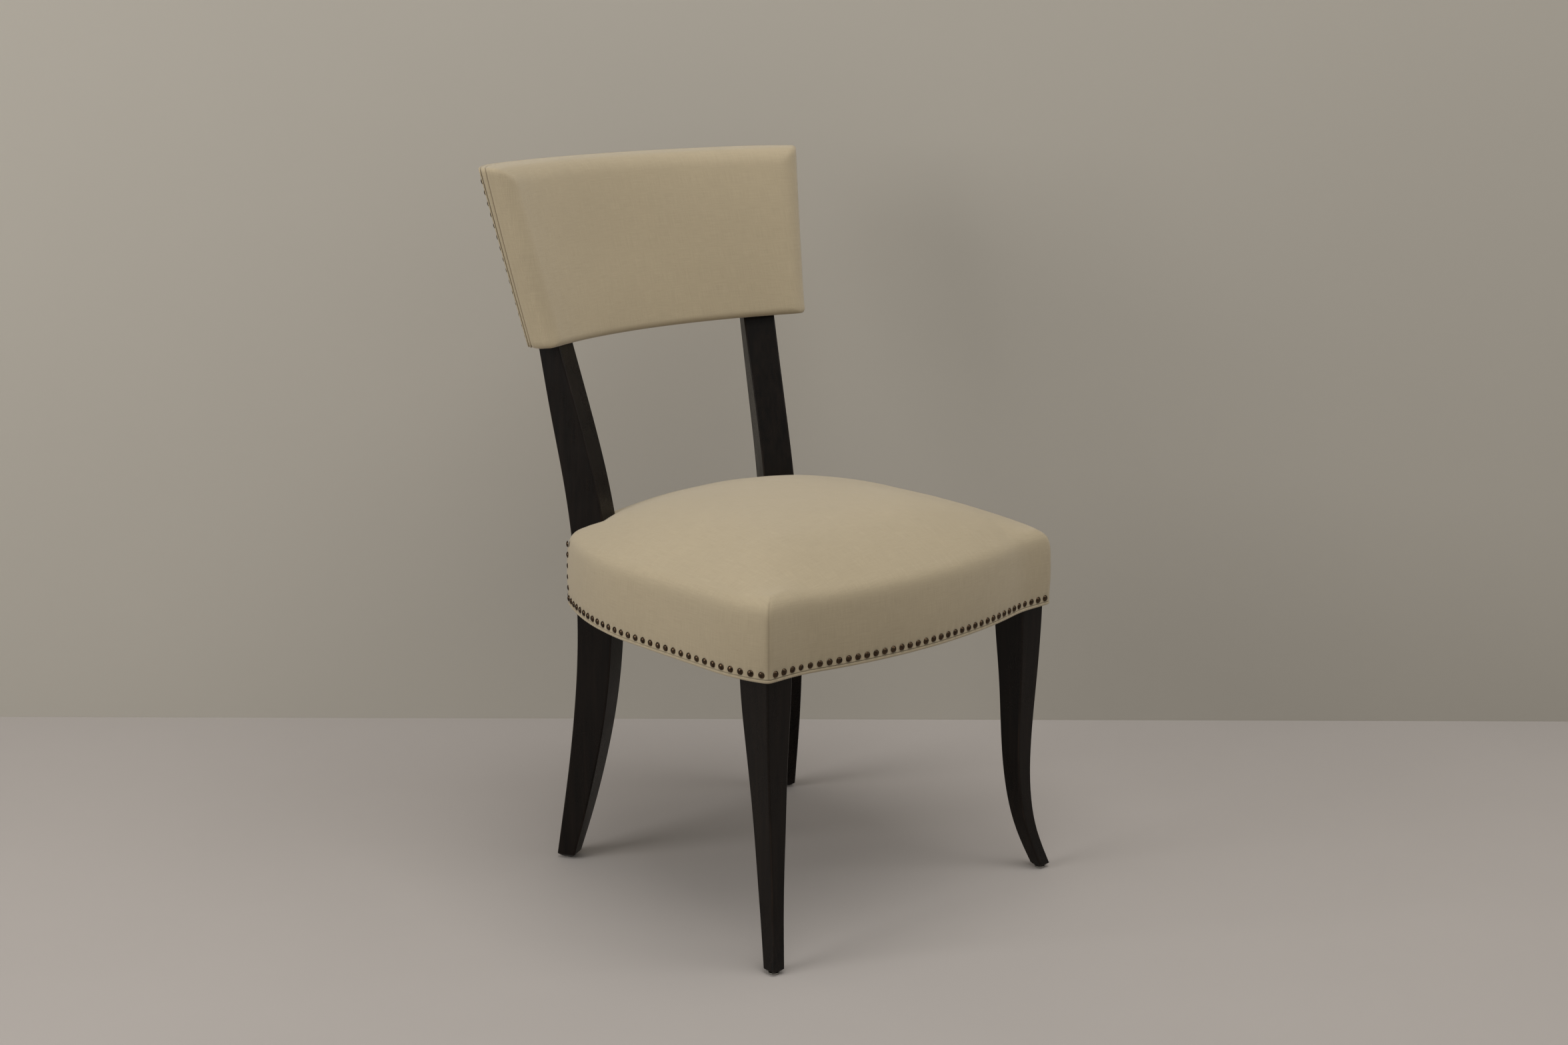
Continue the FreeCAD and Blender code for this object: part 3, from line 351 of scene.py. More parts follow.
for side_name, side in (("left", -1), ("right", 1)):
    leg = sabre("sabre_leg_front_" + side_name, front_stations, side, 0, lacquer)
    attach(leg, "root")
    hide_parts("front_leg_" + side_name)
    post = sabre("sabre_leg_and_post_" + side_name, rear_stations, side, -side * post_turn, lacquer)
    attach(post, "root")
    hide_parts("rear_leg_" + side_name)
    cutters.append(sabre("post_room", rear_stations, side, -side * post_turn, lacquer, grow=0.3,
                         low=post_room_low))


# Foot glides. Turned steel discs, nickel plated, each driven into the end of a leg on its pin
# to keep the lacquer off the floor.

def metal_finish(name, colour, worn, roughness, mottle):
    material, tree, shader = new_material(name)
    place = add(tree, "ShaderNodeTexCoord").outputs["Object"]
    handled = use_group(tree, handling, Place=place, Size=mottle)
    wire(tree, blend_colour(tree, handled.outputs["Smears"], colour, worn), shader.inputs["Base Color"])
    fine = add(tree, "ShaderNodeTexNoise", Vector=place, Scale=2200.0, Detail=2.0)
    wire(tree, calc(tree, "MULTIPLY_ADD", fine.outputs["Fac"], 0.16, roughness), shader.inputs["Roughness"])
    shader.inputs["Metallic"].default_value = 1.0
    bump = add(tree, "ShaderNodeBump", Height=fine.outputs["Fac"], Strength=0.25, Distance=0.00008)
    wire(tree, bump.outputs[0], shader.inputs["Normal"])
    return material


def dress(material, *names):
    """Gives a finish to pieces that stay as they came."""
    for name in names:
        cad_nodes[name].data.materials.clear()
        cad_nodes[name].data.materials.append(material)


dress(metal_finish("nickel", (0.42, 0.41, 0.38, 1), (0.30, 0.29, 0.27, 1), 0.25, 120.0),
      "glide_front_left", "glide_front_right", "glide_rear_left", "glide_rear_right")


# Seat frame. Planed hardwood rails sawn to the plan, dowelled to the legs and posts, with
# glued and screwed blocks in the corners. None of it is finished, because the cover hides it.

raw_wood = wood_finish("planed_hardwood", (0.40, 0.26, 0.14, 1), (0.58, 0.41, 0.24, 1), 0.6, 0.62,
                       pore_depth=0.00008)
dress(raw_wood, "front_rail", "rear_rail", "side_rail_left", "side_rail_right",
      "corner_block_front_left", "corner_block_front_right", "corner_block_rear_left",
      "corner_block_rear_right", "back_crest_rail", "back_lower_rail", "back_end_upright_left",
      "back_end_upright_right")
dress(wood_finish("turned_dowel", (0.50, 0.35, 0.19, 1), (0.66, 0.50, 0.30, 1), 0.8, 0.55),
      "front_rail_dowels", "side_rail_front_dowels", "side_rail_rear_dowels", "rear_rail_dowels",
      "crest_rail_dowels")
dress(wood_finish("plywood", (0.46, 0.31, 0.17, 1), (0.62, 0.45, 0.26, 1), 0.35, 0.6), "back_panel")
dress(wood_finish("fibre_board", (0.24, 0.16, 0.09, 1), (0.30, 0.21, 0.12, 1), 2.5, 0.75),
      "back_rear_board")
dress(metal_finish("zinc", (0.55, 0.55, 0.52, 1), (0.42, 0.41, 0.37, 1), 0.3, 160.0),
      "corner_block_screws", "back_panel_screws")


# Webbing, deck cloth and the cover cloth. All are plain weaves: jute straps tacked over the
# frame, a coarse deck cloth over them, and a natural cotton cover with uneven, slubby threads.

weave, given, put_out = new_group("plain weave", [("Place", VECTOR, None), ("Pitch", FLOAT, 0.001)],
                                  [("Height", FLOAT), ("Threads", FLOAT), ("Slubs", FLOAT)])
per_thread = add(weave, "ShaderNodeVectorMath", {"operation": "SCALE"}, i0=given["Place"])
wire(weave, calc(weave, "DIVIDE", 1.0, given["Pitch"]), per_thread.inputs["Scale"])
waver = add(weave, "ShaderNodeTexNoise", Vector=per_thread.outputs[0], Scale=0.11, Detail=2.0)
moved = add(weave, "ShaderNodeVectorMath", {"operation": "MULTIPLY_ADD"}, i0=waver.outputs["Color"],
            i1=(0.7, 0.7, 0.0), i2=per_thread.outputs[0])
split = add(weave, "ShaderNodeSeparateXYZ", Vector=moved.outputs[0])
across, down = split.outputs["X"], split.outputs["Y"]
crossing = calc(weave, "ADD", calc(weave, "FLOOR", across), calc(weave, "FLOOR", down))
odd = calc(weave, "PINGPONG", crossing, 1.0)
warp_round = calc(weave, "ABSOLUTE", calc(weave, "SINE", calc(weave, "MULTIPLY", across, math.pi)))
weft_round = calc(weave, "ABSOLUTE", calc(weave, "SINE", calc(weave, "MULTIPLY", down, math.pi)))


def on_top(over, under):
    """Height of a thread that lies over another: round across, and bent down at its ends."""
    rise = calc(weave, "MULTIPLY_ADD", under, 0.45, 0.55)
    return calc(weave, "MULTIPLY", calc(weave, "POWER", over, 0.6), rise)


warp_top, weft_top = on_top(warp_round, weft_round), on_top(weft_round, warp_round)
picked = add(weave, "ShaderNodeMix", {"data_type": "FLOAT"}, i0=odd, i2=warp_top, i3=weft_top)
wire(weave, picked.outputs[0], put_out["Height"])
long_way = add(weave, "ShaderNodeMapping", Vector=per_thread.outputs[0], Scale=(0.9, 0.035, 1))
cross_way = add(weave, "ShaderNodeMapping", Vector=per_thread.outputs[0], Scale=(0.035, 0.9, 1))
warp_slub = add(weave, "ShaderNodeTexNoise", Vector=long_way.outputs[0], Scale=1.0, Detail=2.0)
weft_slub = add(weave, "ShaderNodeTexNoise", Vector=cross_way.outputs[0], Scale=1.0, Detail=2.0)
both = add(weave, "ShaderNodeMix", {"data_type": "FLOAT"}, i0=odd, i2=warp_slub.outputs["Fac"],
           i3=weft_slub.outputs["Fac"])
wire(weave, both.outputs[0], put_out["Threads"])
slub = calc(weave, "MAXIMUM", warp_slub.outputs["Fac"], weft_slub.outputs["Fac"])
wire(weave, spread(weave, slub, 0.6, 0.78), put_out["Slubs"])


def cloth_finish(name, colour, shadow, pitch, depth, source="uv", fuzz=0.25, fleck=0.0, soil=0.0):
    """A woven cloth: shadow is its colour between the threads, depth the height of a thread."""
    material, tree, shader = new_material(name)
    place = add(tree, "ShaderNodeTexCoord").outputs["Object"]
    laid = add(tree, "ShaderNodeUVMap", {"uv_map": "cloth"}).outputs[0] if source == "uv" else place
    woven = use_group(tree, weave, Place=laid, Pitch=pitch)
    seen = spread(tree, woven.outputs["Height"], 0.0, 0.75)
    tone = blend_colour(tree, seen, shadow, colour)
    uneven = spread(tree, woven.outputs["Threads"], 0.3, 0.7, 0.90, 1.08)
    patchy = add(tree, "ShaderNodeTexNoise", Vector=place, Scale=7.0, Detail=3.0)
    uneven = calc(tree, "MULTIPLY", uneven, spread(tree, patchy.outputs["Fac"], 0.3, 0.7, 0.975, 1.02))
    bright = add(tree, "ShaderNodeCombineColor", i0=uneven, i1=uneven, i2=uneven).outputs[0]
    tone = blend_colour(tree, 1.0, tone, bright, "MULTIPLY")
    if fleck:
        dots = add(tree, "ShaderNodeTexNoise", Vector=laid, Scale=420.0, Detail=1.0)
        spots = calc(tree, "MULTIPLY", spread(tree, dots.outputs["Fac"], 0.735, 0.79), fleck)
        tone = blend_colour(tree, spots, tone, (0.22, 0.15, 0.07, 1))
    # Along the seams the cloth is darkened towards a deep brown: painted shade in the crease of the seam.
    seam = add(tree, "ShaderNodeAttribute", {"attribute_name": "seam"}).outputs["Fac"]
    seam_shade_colour = (shadow[0] * 0.22, shadow[1] * 0.16, shadow[2] * 0.10, 1)
    seam_shade_share = calc(tree, "MULTIPLY", calc(tree, "POWER", seam, 2.0), 0.85)
    tone = blend_colour(tree, seam_shade_share, tone, seam_shade_colour)
    if soil:
        handled = use_group(tree, handling, Place=place, Size=5.0)
        soiled = tuple(part * 0.86 for part in colour[:3]) + (1,)
        tone = blend_colour(tree, calc(tree, "MULTIPLY", handled.outputs["Smears"], soil), tone, soiled)
    wire(tree, tone, shader.inputs["Base Color"])
    shader.inputs["Roughness"].default_value = 0.86
    shader.inputs["Specular IOR Level"].default_value = 0.25
    shader.inputs["Sheen Weight"].default_value = fuzz
    shader.inputs["Sheen Roughness"].default_value = 0.45
    relief = calc(tree, "ADD", woven.outputs["Height"],
                  calc(tree, "MULTIPLY", woven.outputs["Slubs"], 0.5))
    bump = add(tree, "ShaderNodeBump", Height=relief, Strength=0.6, Distance=depth)
    wire(tree, bump.outputs[0], shader.inputs["Normal"])
    return material


dress(cloth_finish("jute_webbing", (0.34, 0.24, 0.12, 1), (0.16, 0.10, 0.05, 1), 0.0022, 0.0006,
                   "object"), "webbing_lengthwise", "webbing_crosswise")
dress(cloth_finish("deck_cloth", (0.36, 0.29, 0.18, 1), (0.22, 0.17, 0.10, 1), 0.0014, 0.0003,
                   "object"), "seat_deck")
cotton = cloth_finish("natural_cotton", (0.405, 0.335, 0.228, 1), (0.315, 0.252, 0.164, 1),
                      0.00085, 0.00022, fleck=0.35, soil=0.22)


# Foam. Yellowish open-cell blocks, cut to the crown of the seat and to the curve of the back,
# and glued down. It shows on no side of the finished chair.

foam_yellow, tree, shader = new_material("foam")
place = add(tree, "ShaderNodeTexCoord").outputs["Object"]
cells = add(tree, "ShaderNodeTexVoronoi", Vector=place, Scale=900.0)
open_cell = spread(tree, cells.outputs["Distance"], 0.1, 0.6)
wire(tree, blend_colour(tree, open_cell, (0.50, 0.42, 0.20, 1), (0.78, 0.70, 0.44, 1)),
     shader.inputs["Base Color"])
cell_bump = add(tree, "ShaderNodeBump", Height=open_cell, Strength=0.6, Distance=0.0005)
wire(tree, cell_bump.outputs[0], shader.inputs["Normal"])
shader.inputs["Roughness"].default_value = 0.9


# Seat cushion. The cover is pulled down over a crowned block of foam and over the sides of the
# frame. It has a seam down each front corner and is nailed along its lower edge.

# The plan, in millimetres from the middle and back from the line through the front feet.
front_corner, rear_corner = (241, -2.5), (208, 411)
bow_end, bow_middle = 186, -28.5
side_from, side_to = (257.7, 75), (257.7, 215)
rear_bow_end, rear_bow_middle = (188, 428.5), 480
crown_middle = np.array([0.0, 200.0])
cover_foot, wall_top, crown_edge, crown_rise = 359.2, 425.0, 443, 57


def arc(start, middle, end, count):
    """Points on the arc through three points of the plan."""
    (ax, ay), (bx, by), (cx, cy) = start, middle, end
    aa, bb, cc = ax * ax + ay * ay, bx * bx + by * by, cx * cx + cy * cy
    twice = 2 * (ax * (by - cy) + bx * (cy - ay) + cx * (ay - by))
    ox = (aa * (by - cy) + bb * (cy - ay) + cc * (ay - by)) / twice
    oy = (aa * (cx - bx) + bb * (ax - cx) + cc * (bx - ax)) / twice
    radius = math.hypot(ax - ox, ay - oy)
    first, last = math.atan2(ay - oy, ax - ox), math.atan2(cy - oy, cx - ox)
    middle_turn = (math.atan2(by - oy, bx - ox) - first) % (2 * math.pi)
    whole = (last - first) % (2 * math.pi)
    whole = whole if middle_turn < whole else whole - 2 * math.pi
    angles = [first + whole * step / count for step in range(count + 1)]
    return [(ox + radius * math.cos(angle), oy + radius * math.sin(angle)) for angle in angles]


def tangent_arc(start, corner, count):
    """Arc that leaves a side of the seat straight on, and ends at a corner."""
    dx, dy = start[0] - corner[0], corner[1] - start[1]
    radius = (dx * dx + dy * dy) / (2 * dx)
    centre = (start[0] - radius, start[1])
    turn = math.atan2(corner[1] - centre[1], corner[0] - centre[0])
    angles = [turn * step / count for step in range(count + 1)]
    return [(centre[0] + radius * math.cos(angle), centre[1] + radius * math.sin(angle))
            for angle in angles]


def length_along(points, closed=False):
    """Length of a line up to each of its points, and round to the first one if it is closed."""
    points = np.vstack([points, points[:1]]) if closed else points
    return np.concatenate([[0], np.cumsum(np.linalg.norm(np.diff(points, axis=0), axis=1))])


def even(points, count):
    """The same line with its points at an even distance."""
    points = np.array(points, float)
    length = length_along(points)
    at = np.linspace(0, length[-1], count + 1)
    return np.column_stack([np.interp(at, length, points[:, axis]) for axis in range(points.shape[1])])


def mirrored(point):
    return -point[0], point[1]


bow_corner = (bow_end, front_corner[1])
bow = arc(mirrored(bow_corner), (0, bow_middle), bow_corner, 60)
rear_bow = arc(mirrored(rear_bow_end), (0, rear_bow_middle), rear_bow_end, 60)
plan_front = [mirrored(front_corner)] + bow + [front_corner]
plan_right = tangent_arc(side_from, front_corner, 20)[::-1] + tangent_arc(side_to, rear_corner, 40)
plan_rear = [mirrored(rear_corner)] + rear_bow + [rear_corner]
plan_left = [mirrored(point) for point in plan_right]


def sides(across, along):
    """The four sides of the seat's plan: front, right, rear and left."""
    return (even(plan_front, across), even(plan_right, along), even(plan_rear, across),
            even(plan_left, along))


def closed_line(front, right, rear, left):
    """Four sides joined to one line, counter-clockwise."""
    return np.concatenate([front[:-1], right[:-1], rear[::-1][:-1], left[::-1][:-1]])


def quilt(front, right, rear, left):
    """A grid of points stretched between four sides."""
    u = np.linspace(0, 1, len(front))[:, None, None]
    v = np.linspace(0, 1, len(right))[None, :, None]
    edges = (1 - v) * front[:, None] + v * rear[:, None] + (1 - u) * left[None] + u * right[None]
    corners = ((1 - u) * (1 - v) * front[0] + u * (1 - v) * front[-1]
               + (1 - u) * v * rear[0] + u * v * rear[-1])
    return edges - corners


def around(across, along):
    """Grid places of the edge of a quilt, counter-clockwise."""
    return ([(i, 0) for i in range(across)] + [(across, j) for j in range(along)]
            + [(i, along) for i in range(across, 0, -1)] + [(0, j) for j in range(along, 0, -1)])


def grid_quads(across, along, turned=False):
    """Faces of a quilt, column by column; turned makes them look the other way."""
    step = along + 1
    corners = (0, 1, step + 1, step) if turned else (0, step, step + 1, 1)
    return [[i * step + j + corner for corner in corners] for i in range(across) for j in range(along)]


outline = closed_line(*sides(400, 300))
compass = np.arctan2(outline[:, 1] - crown_middle[1], outline[:, 0])
order = np.argsort(compass)
compass, reach = compass[order], np.linalg.norm(outline - crown_middle, axis=1)[order]


def share_out(points):
    """How far each point of the plan lies from the crown's middle, as a share of the way to the edge."""
    offset = points - crown_middle
    edge = np.interp(np.arctan2(offset[..., 1], offset[..., 0]), compass, reach, period=2 * math.pi)
    return np.linalg.norm(offset, axis=-1) / edge


def soften(heights, mask, times):
    """Evens out the heights of a quilt where the mask is 1."""
    for _ in range(times):
        mean = (heights[:-2, 1:-1] + heights[2:, 1:-1] + heights[1:-1, :-2] + heights[1:-1, 2:]) / 4
        heights[1:-1, 1:-1] += 0.5 * mask[1:-1, 1:-1] * (mean - heights[1:-1, 1:-1])
    return heights


def ripple(points, size, seed):
    """A slow, gentle unevenness, from -1 to 1, for points in millimetres."""
    return np.array([noise.noise(Vector((x / size + seed, y / size, z / size))) for x, y, z in points])


nail_row_z = 364.0
front_pitch, side_pitch = 12.9, 14.2


def spaced(points, pitch, start_gap, end_gap):
    """Nail places along a line of the plan, with the way that each nail faces."""
    dense = even(points, 900)
    length = length_along(dense)
    usable = length[-1] - start_gap - end_gap
    count = max(2, round(usable / pitch) + 1)
    row = []
    for index in range(count):
        at = start_gap + usable * index / (count - 1)
        place = np.array([np.interp(at, length, dense[:, axis]) for axis in (0, 1)])
        step = int(min(np.searchsorted(length, at), len(dense) - 2))
        run = dense[step + 1] - dense[step]
        facing = np.array([run[1], -run[0]]) / np.linalg.norm(run)
        if facing @ (place - crown_middle) < 0:
            facing = -facing
        row.append((np.array([place[0], place[1], nail_row_z]), np.array([facing[0], facing[1], 0.0])))
    return row


nails_front = spaced(plan_front, front_pitch, 10.5, 10.5)
nails_right = spaced(plan_right, side_pitch, 9, 8)
nails_rear = spaced(plan_rear, side_pitch, 8, 8)

# Five more nails go up the rear corner on each side.
corner_place, corner_facing = nails_right[-1]
nails_right += [(corner_place + np.array([0, 0, side_pitch * step]), corner_facing)
                for step in range(1, 6)]
to_left = np.array([-1, 1, 1])
nails_left = [(place * to_left, facing * to_left) for place, facing in nails_right]

# The crown is a quilt over most of the plan. Rings round it make the shoulder and the wall.
across, along = 150, 132
patch_share = 0.93
four = [crown_middle + (side - crown_middle) * patch_share for side in sides(across, along)]
top = quilt(*four)
share = share_out(top)
rise = crown_edge + crown_rise * (1 - np.clip(share, 0, 1) ** 3.2) ** 1.14
rise = soften(rise, np.clip((patch_share - share) / 0.12, 0, 1), 320)
patch = np.concatenate([top.reshape(-1, 2), rise.reshape(-1, 1)], axis=1)
edge_ring = [i * (along + 1) + j for i, j in around(across, along)]
full = closed_line(*sides(across, along))
ring_count = len(full)

# The corners are a little rounded, and the bow runs smoothly into the straight of each corner.
corners = [0, across, across + along, 2 * across + along]
for corner in corners:
    before, at, after = full[corner - 2], full[corner].copy(), full[(corner + 2) % ring_count]
    for step, share_along in ((-1, 0.25), (0, 0.5), (1, 0.75)):
        full[(corner + step) % ring_count] = ((1 - share_along) ** 2 * before + share_along ** 2 * after
                                              + 2 * share_along * (1 - share_along) * at)
for kink in (mirrored(bow_corner), bow_corner):
    bend = int(np.argmin(np.linalg.norm(full - np.array(kink), axis=1)))
    for _ in range(40):
        full[bend - 7:bend + 8] += 0.5 * ((full[bend - 8:bend + 7] + full[bend - 6:bend + 9]) / 2
                                          - full[bend - 7:bend + 8])
tangent = np.roll(full, -1, axis=0) - np.roll(full, 1, axis=0)
outward = np.column_stack([tangent[:, 1], -tangent[:, 0]])
outward /= np.linalg.norm(outward, axis=1)[:, None]
run_length = length_along(full, closed=True)

# The cover swells over the wall, puffs up between the nails and is pulled in at each of them.
low_nails = np.array([place[:2] for row in (nails_front, nails_right, nails_rear, nails_left)
                      for place, _ in row if place[2] < 370])
nail_distance = np.array([np.linalg.norm(low_nails - point, axis=1).min() for point in full])
shoulder = [(0.945, 450.6), (0.960, 448.2), (0.972, 445.8), (0.982, 442.9), (0.9895, 439.4),
            (0.995, 435.2), (0.9985, 430.3), (1.0, wall_top)]
wall_heights = (419, 413, 407, 401, 395, 389, 384, 380, 376, 373, 370, 367, 364, 361.5, cover_foot)
wall = [(1.0, height) for height in wall_heights]
levels = []
for level_share, height in shoulder + wall:
    ring = crown_middle + (full - crown_middle) * level_share
    swell = 1.3 * math.sin(math.pi * min(max((height - 366) / 62, 0), 1)) if level_share == 1.0 else 0.0
    beside = max(height - nail_row_z, 0)
    pull = 0.75 * np.exp(-(nail_distance / 3.4) ** 2) * math.exp(-((height - nail_row_z) / 5) ** 2)
    puff = 0.45 * np.clip(nail_distance / 6.5, 0, 1) ** 2 * math.exp(-beside / 10)
    shift = swell + (puff - pull if level_share == 1.0 else 0)
    ring = ring + outward * np.broadcast_to(shift, ring_count)[:, None]
    levels.append(np.column_stack([ring, np.full(ring_count, height)]))
vertices = np.vstack([patch] + levels)
wavy = ripple(vertices, 75, 3.1) * 0.8 + ripple(vertices, 28, 9.4) * 0.22
is_patch = np.arange(len(vertices)) < len(patch)
vertices[:, 2] += np.where(is_patch, wavy, 0)
for level in range(len(levels)):
    start = len(patch) + level * ring_count
    ring = slice(start, start + ring_count)
    blend_in = min(level / len(shoulder), 1.0)
    vertices[ring, :2] += outward * (wavy[ring] * blend_in * 0.6)[:, None]
    vertices[ring, 2] += wavy[ring] * (1 - blend_in)


def near_post(points):
    """Distance in plan from each point to the nearer post, in millimetres."""
    x, y, wide, deep = through(rear_stations, [445])[0]
    offset = np.column_stack([np.abs(points[:, 0]) - x, points[:, 1] - y])
    cos, sin = math.cos(post_turn), math.sin(post_turn)
    side_way = offset[:, 0] * cos - offset[:, 1] * sin
    back_way = offset[:, 0] * sin + offset[:, 1] * cos
    out_x, out_y = np.abs(side_way) - wide / 2, np.abs(back_way) - deep / 2
    return np.hypot(np.clip(out_x, 0, None), np.clip(out_y, 0, None))


# The cover is tucked down round the posts.
tuck = 3.2 * np.clip(1 - near_post(vertices) / 16, 0, 1) ** 2
vertices[:, 2] -= np.where(vertices[:, 2] > 428, tuck, 0)

# The skirt of the cover goes up again on its inner side, and the foam closes it.
skirt_thick = 2.3
inner_ring = crown_middle + (full - crown_middle) * (1 - skirt_thick / side_from[0])
inner_levels = [np.column_stack([inner_ring, np.full(ring_count, height)])
                for height in (cover_foot, 380, 402, 424)]
vertices = np.vstack([vertices] + inner_levels)


def laid_down(points, face):
    """Corners of a face on cloth that lies flat over it."""
    return [(points[item, 0], points[item, 1]) for item in face]


def ring_index(level, index):
    """Vertex of a ring; ring -1 is the edge of the crown."""
    if level < 0:
        return edge_ring[index % ring_count]
    return len(patch) + level * ring_count + index % ring_count


faces = grid_quads(across, along)
cloth_uv = [laid_down(vertices, quad) for quad in faces]
slots = [0] * len(faces)
fall = [0.0]
for level in range(len(levels)):
    upper = patch[edge_ring] if level == 0 else levels[level - 1]
    fall.append(fall[-1] + float(np.linalg.norm(levels[level] - upper, axis=1).mean()))
for level in range(-1, len(levels) + len(inner_levels) - 1):
    for index in range(ring_count):
        quad = [ring_index(level + 1, index), ring_index(level + 1, index + 1),
                ring_index(level, index + 1), ring_index(level, index)]
        faces.append(quad)
        if level < 3:
            cloth_uv.append(laid_down(vertices, quad))
        else:
            lower = fall[min(level + 2, len(fall) - 1)]
            upper = fall[min(level + 1, len(fall) - 1)]
            cloth_uv.append([(run_length[index], -lower), (run_length[index + 1], -lower),
                             (run_length[index + 1], -upper), (run_length[index], -upper)])
        slots.append(0 if level < len(levels) else 1)
last = len(levels) + len(inner_levels) - 1
faces.append([ring_index(last, index) for index in range(ring_count)][::-1])
cloth_uv.append(laid_down(vertices, faces[-1]))
slots.append(1)


def cut_room(piece, rooms):
    """Cuts the posts' room out of a cloth piece, and keeps the result as a plain mesh."""
    for room in rooms:
        cut = piece.modifiers.new("post", "BOOLEAN")
        cut.operation, cut.solver, cut.object = "DIFFERENCE", "EXACT", room
    settled = piece.evaluated_get(bpy.context.evaluated_depsgraph_get())
    plain = bpy.data.meshes.new_from_object(settled)
    piece.modifiers.clear()
    old, piece.data = piece.data, plain
    bpy.data.meshes.remove(old)


def lay_cloth(piece, cloth_uv, slots):
    """Lays the weave on a piece, from millimetres on the cloth, and sets which face is foam."""
    layer = piece.data.uv_layers.new(name="cloth")
    flat = [float(value) / 1000 for face in cloth_uv for point in face for value in point]
    layer.data.foreach_set("uv", flat)
    piece.data.polygons.foreach_set("material_index", slots)


cushion = finish_mesh("seat_cushion", metres(vertices), faces, [cotton, foam_yellow])
lay_cloth(cushion, cloth_uv, slots)
# The seam attribute marks the front corner seams, where the cotton is darkened with painted shade.
seam = cushion.data.attributes.new("seam", "FLOAT", "POINT")
values = np.zeros(len(vertices))
for corner in corners:
    for level in range(len(levels)):
        if levels[level][0, 2] < 452:
            values[ring_index(level, corner)] = 0.6 if levels[level][0, 2] < 446 else 0.35
seam.data.foreach_set("value", values)
sharpen(cushion.data, 50)
cut_room(cushion, cutters)
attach(cushion, "root")
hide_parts("seat_foam", "seat_cover")


# Welt. A strip of the cover cloth folded round a cord and tacked under the edge of the frame,
# so that a rolled line shows below the nails.

def roll(name, path, radius, material, count=12):
    """A closed round cord along a level path, with its cloth laid along it."""
    path = np.asarray(path, float)
    ahead = np.roll(path, -1, axis=0) - np.roll(path, 1, axis=0)
    out = np.column_stack([ahead[:, 1], -ahead[:, 0], np.zeros(len(path))])
    out /= np.linalg.norm(out, axis=1)[:, None]
    turns = [2 * math.pi * step / count for step in range(count)]
    ring = [path + out * radius * math.cos(turn) + np.array([0, 0, radius * math.sin(turn)])
            for turn in turns]
    points = np.stack(ring, axis=1).reshape(-1, 3)
    length = length_along(path, closed=True)
    around_step = 2 * math.pi * radius / count
    quads, uv = [], []
    for index in range(len(path)):
        here, after = index * count, (index + 1) % len(path) * count
        for step in range(count):
            above = (step + 1) % count
            quads.append([here + step, after + step, after + above, here + above])
            low, high = step * around_step, (step + 1) * around_step
            start, end = length[index], length[index + 1]
            # The welt's cloth is cut on the bias, so its threads run aslant.
            uv.append([(start + low, low - start), (end + low, low - end),
                       (end + high, high - end), (start + high, high - start)])
    piece = finish_mesh(name, metres(points), quads, material)
    lay_cloth(piece, uv, [0] * len(quads))
    return piece


welt_in, welt_z, welt_radius = 1.75, 356.4, 2.3
welt_path = full - outward * welt_in
for corner in corners:
    beside_corner = (welt_path[corner - 1] + welt_path[(corner + 1) % ring_count]) / 2
    welt_path[corner] = beside_corner + outward[corner] * 0.6
welt_path = np.column_stack([welt_path, np.full(ring_count, welt_z)])
welt_path[:, 2] += ripple(welt_path, 45, 5.5) * 0.25
welt = roll("seat_welt_roll", welt_path, welt_radius, cotton)
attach(welt, "root")
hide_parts("seat_welt")


# Nailhead trim. Domed steel nails with an antique bronze finish, driven one by one through the
# edge of the cover. No two sit quite alike.

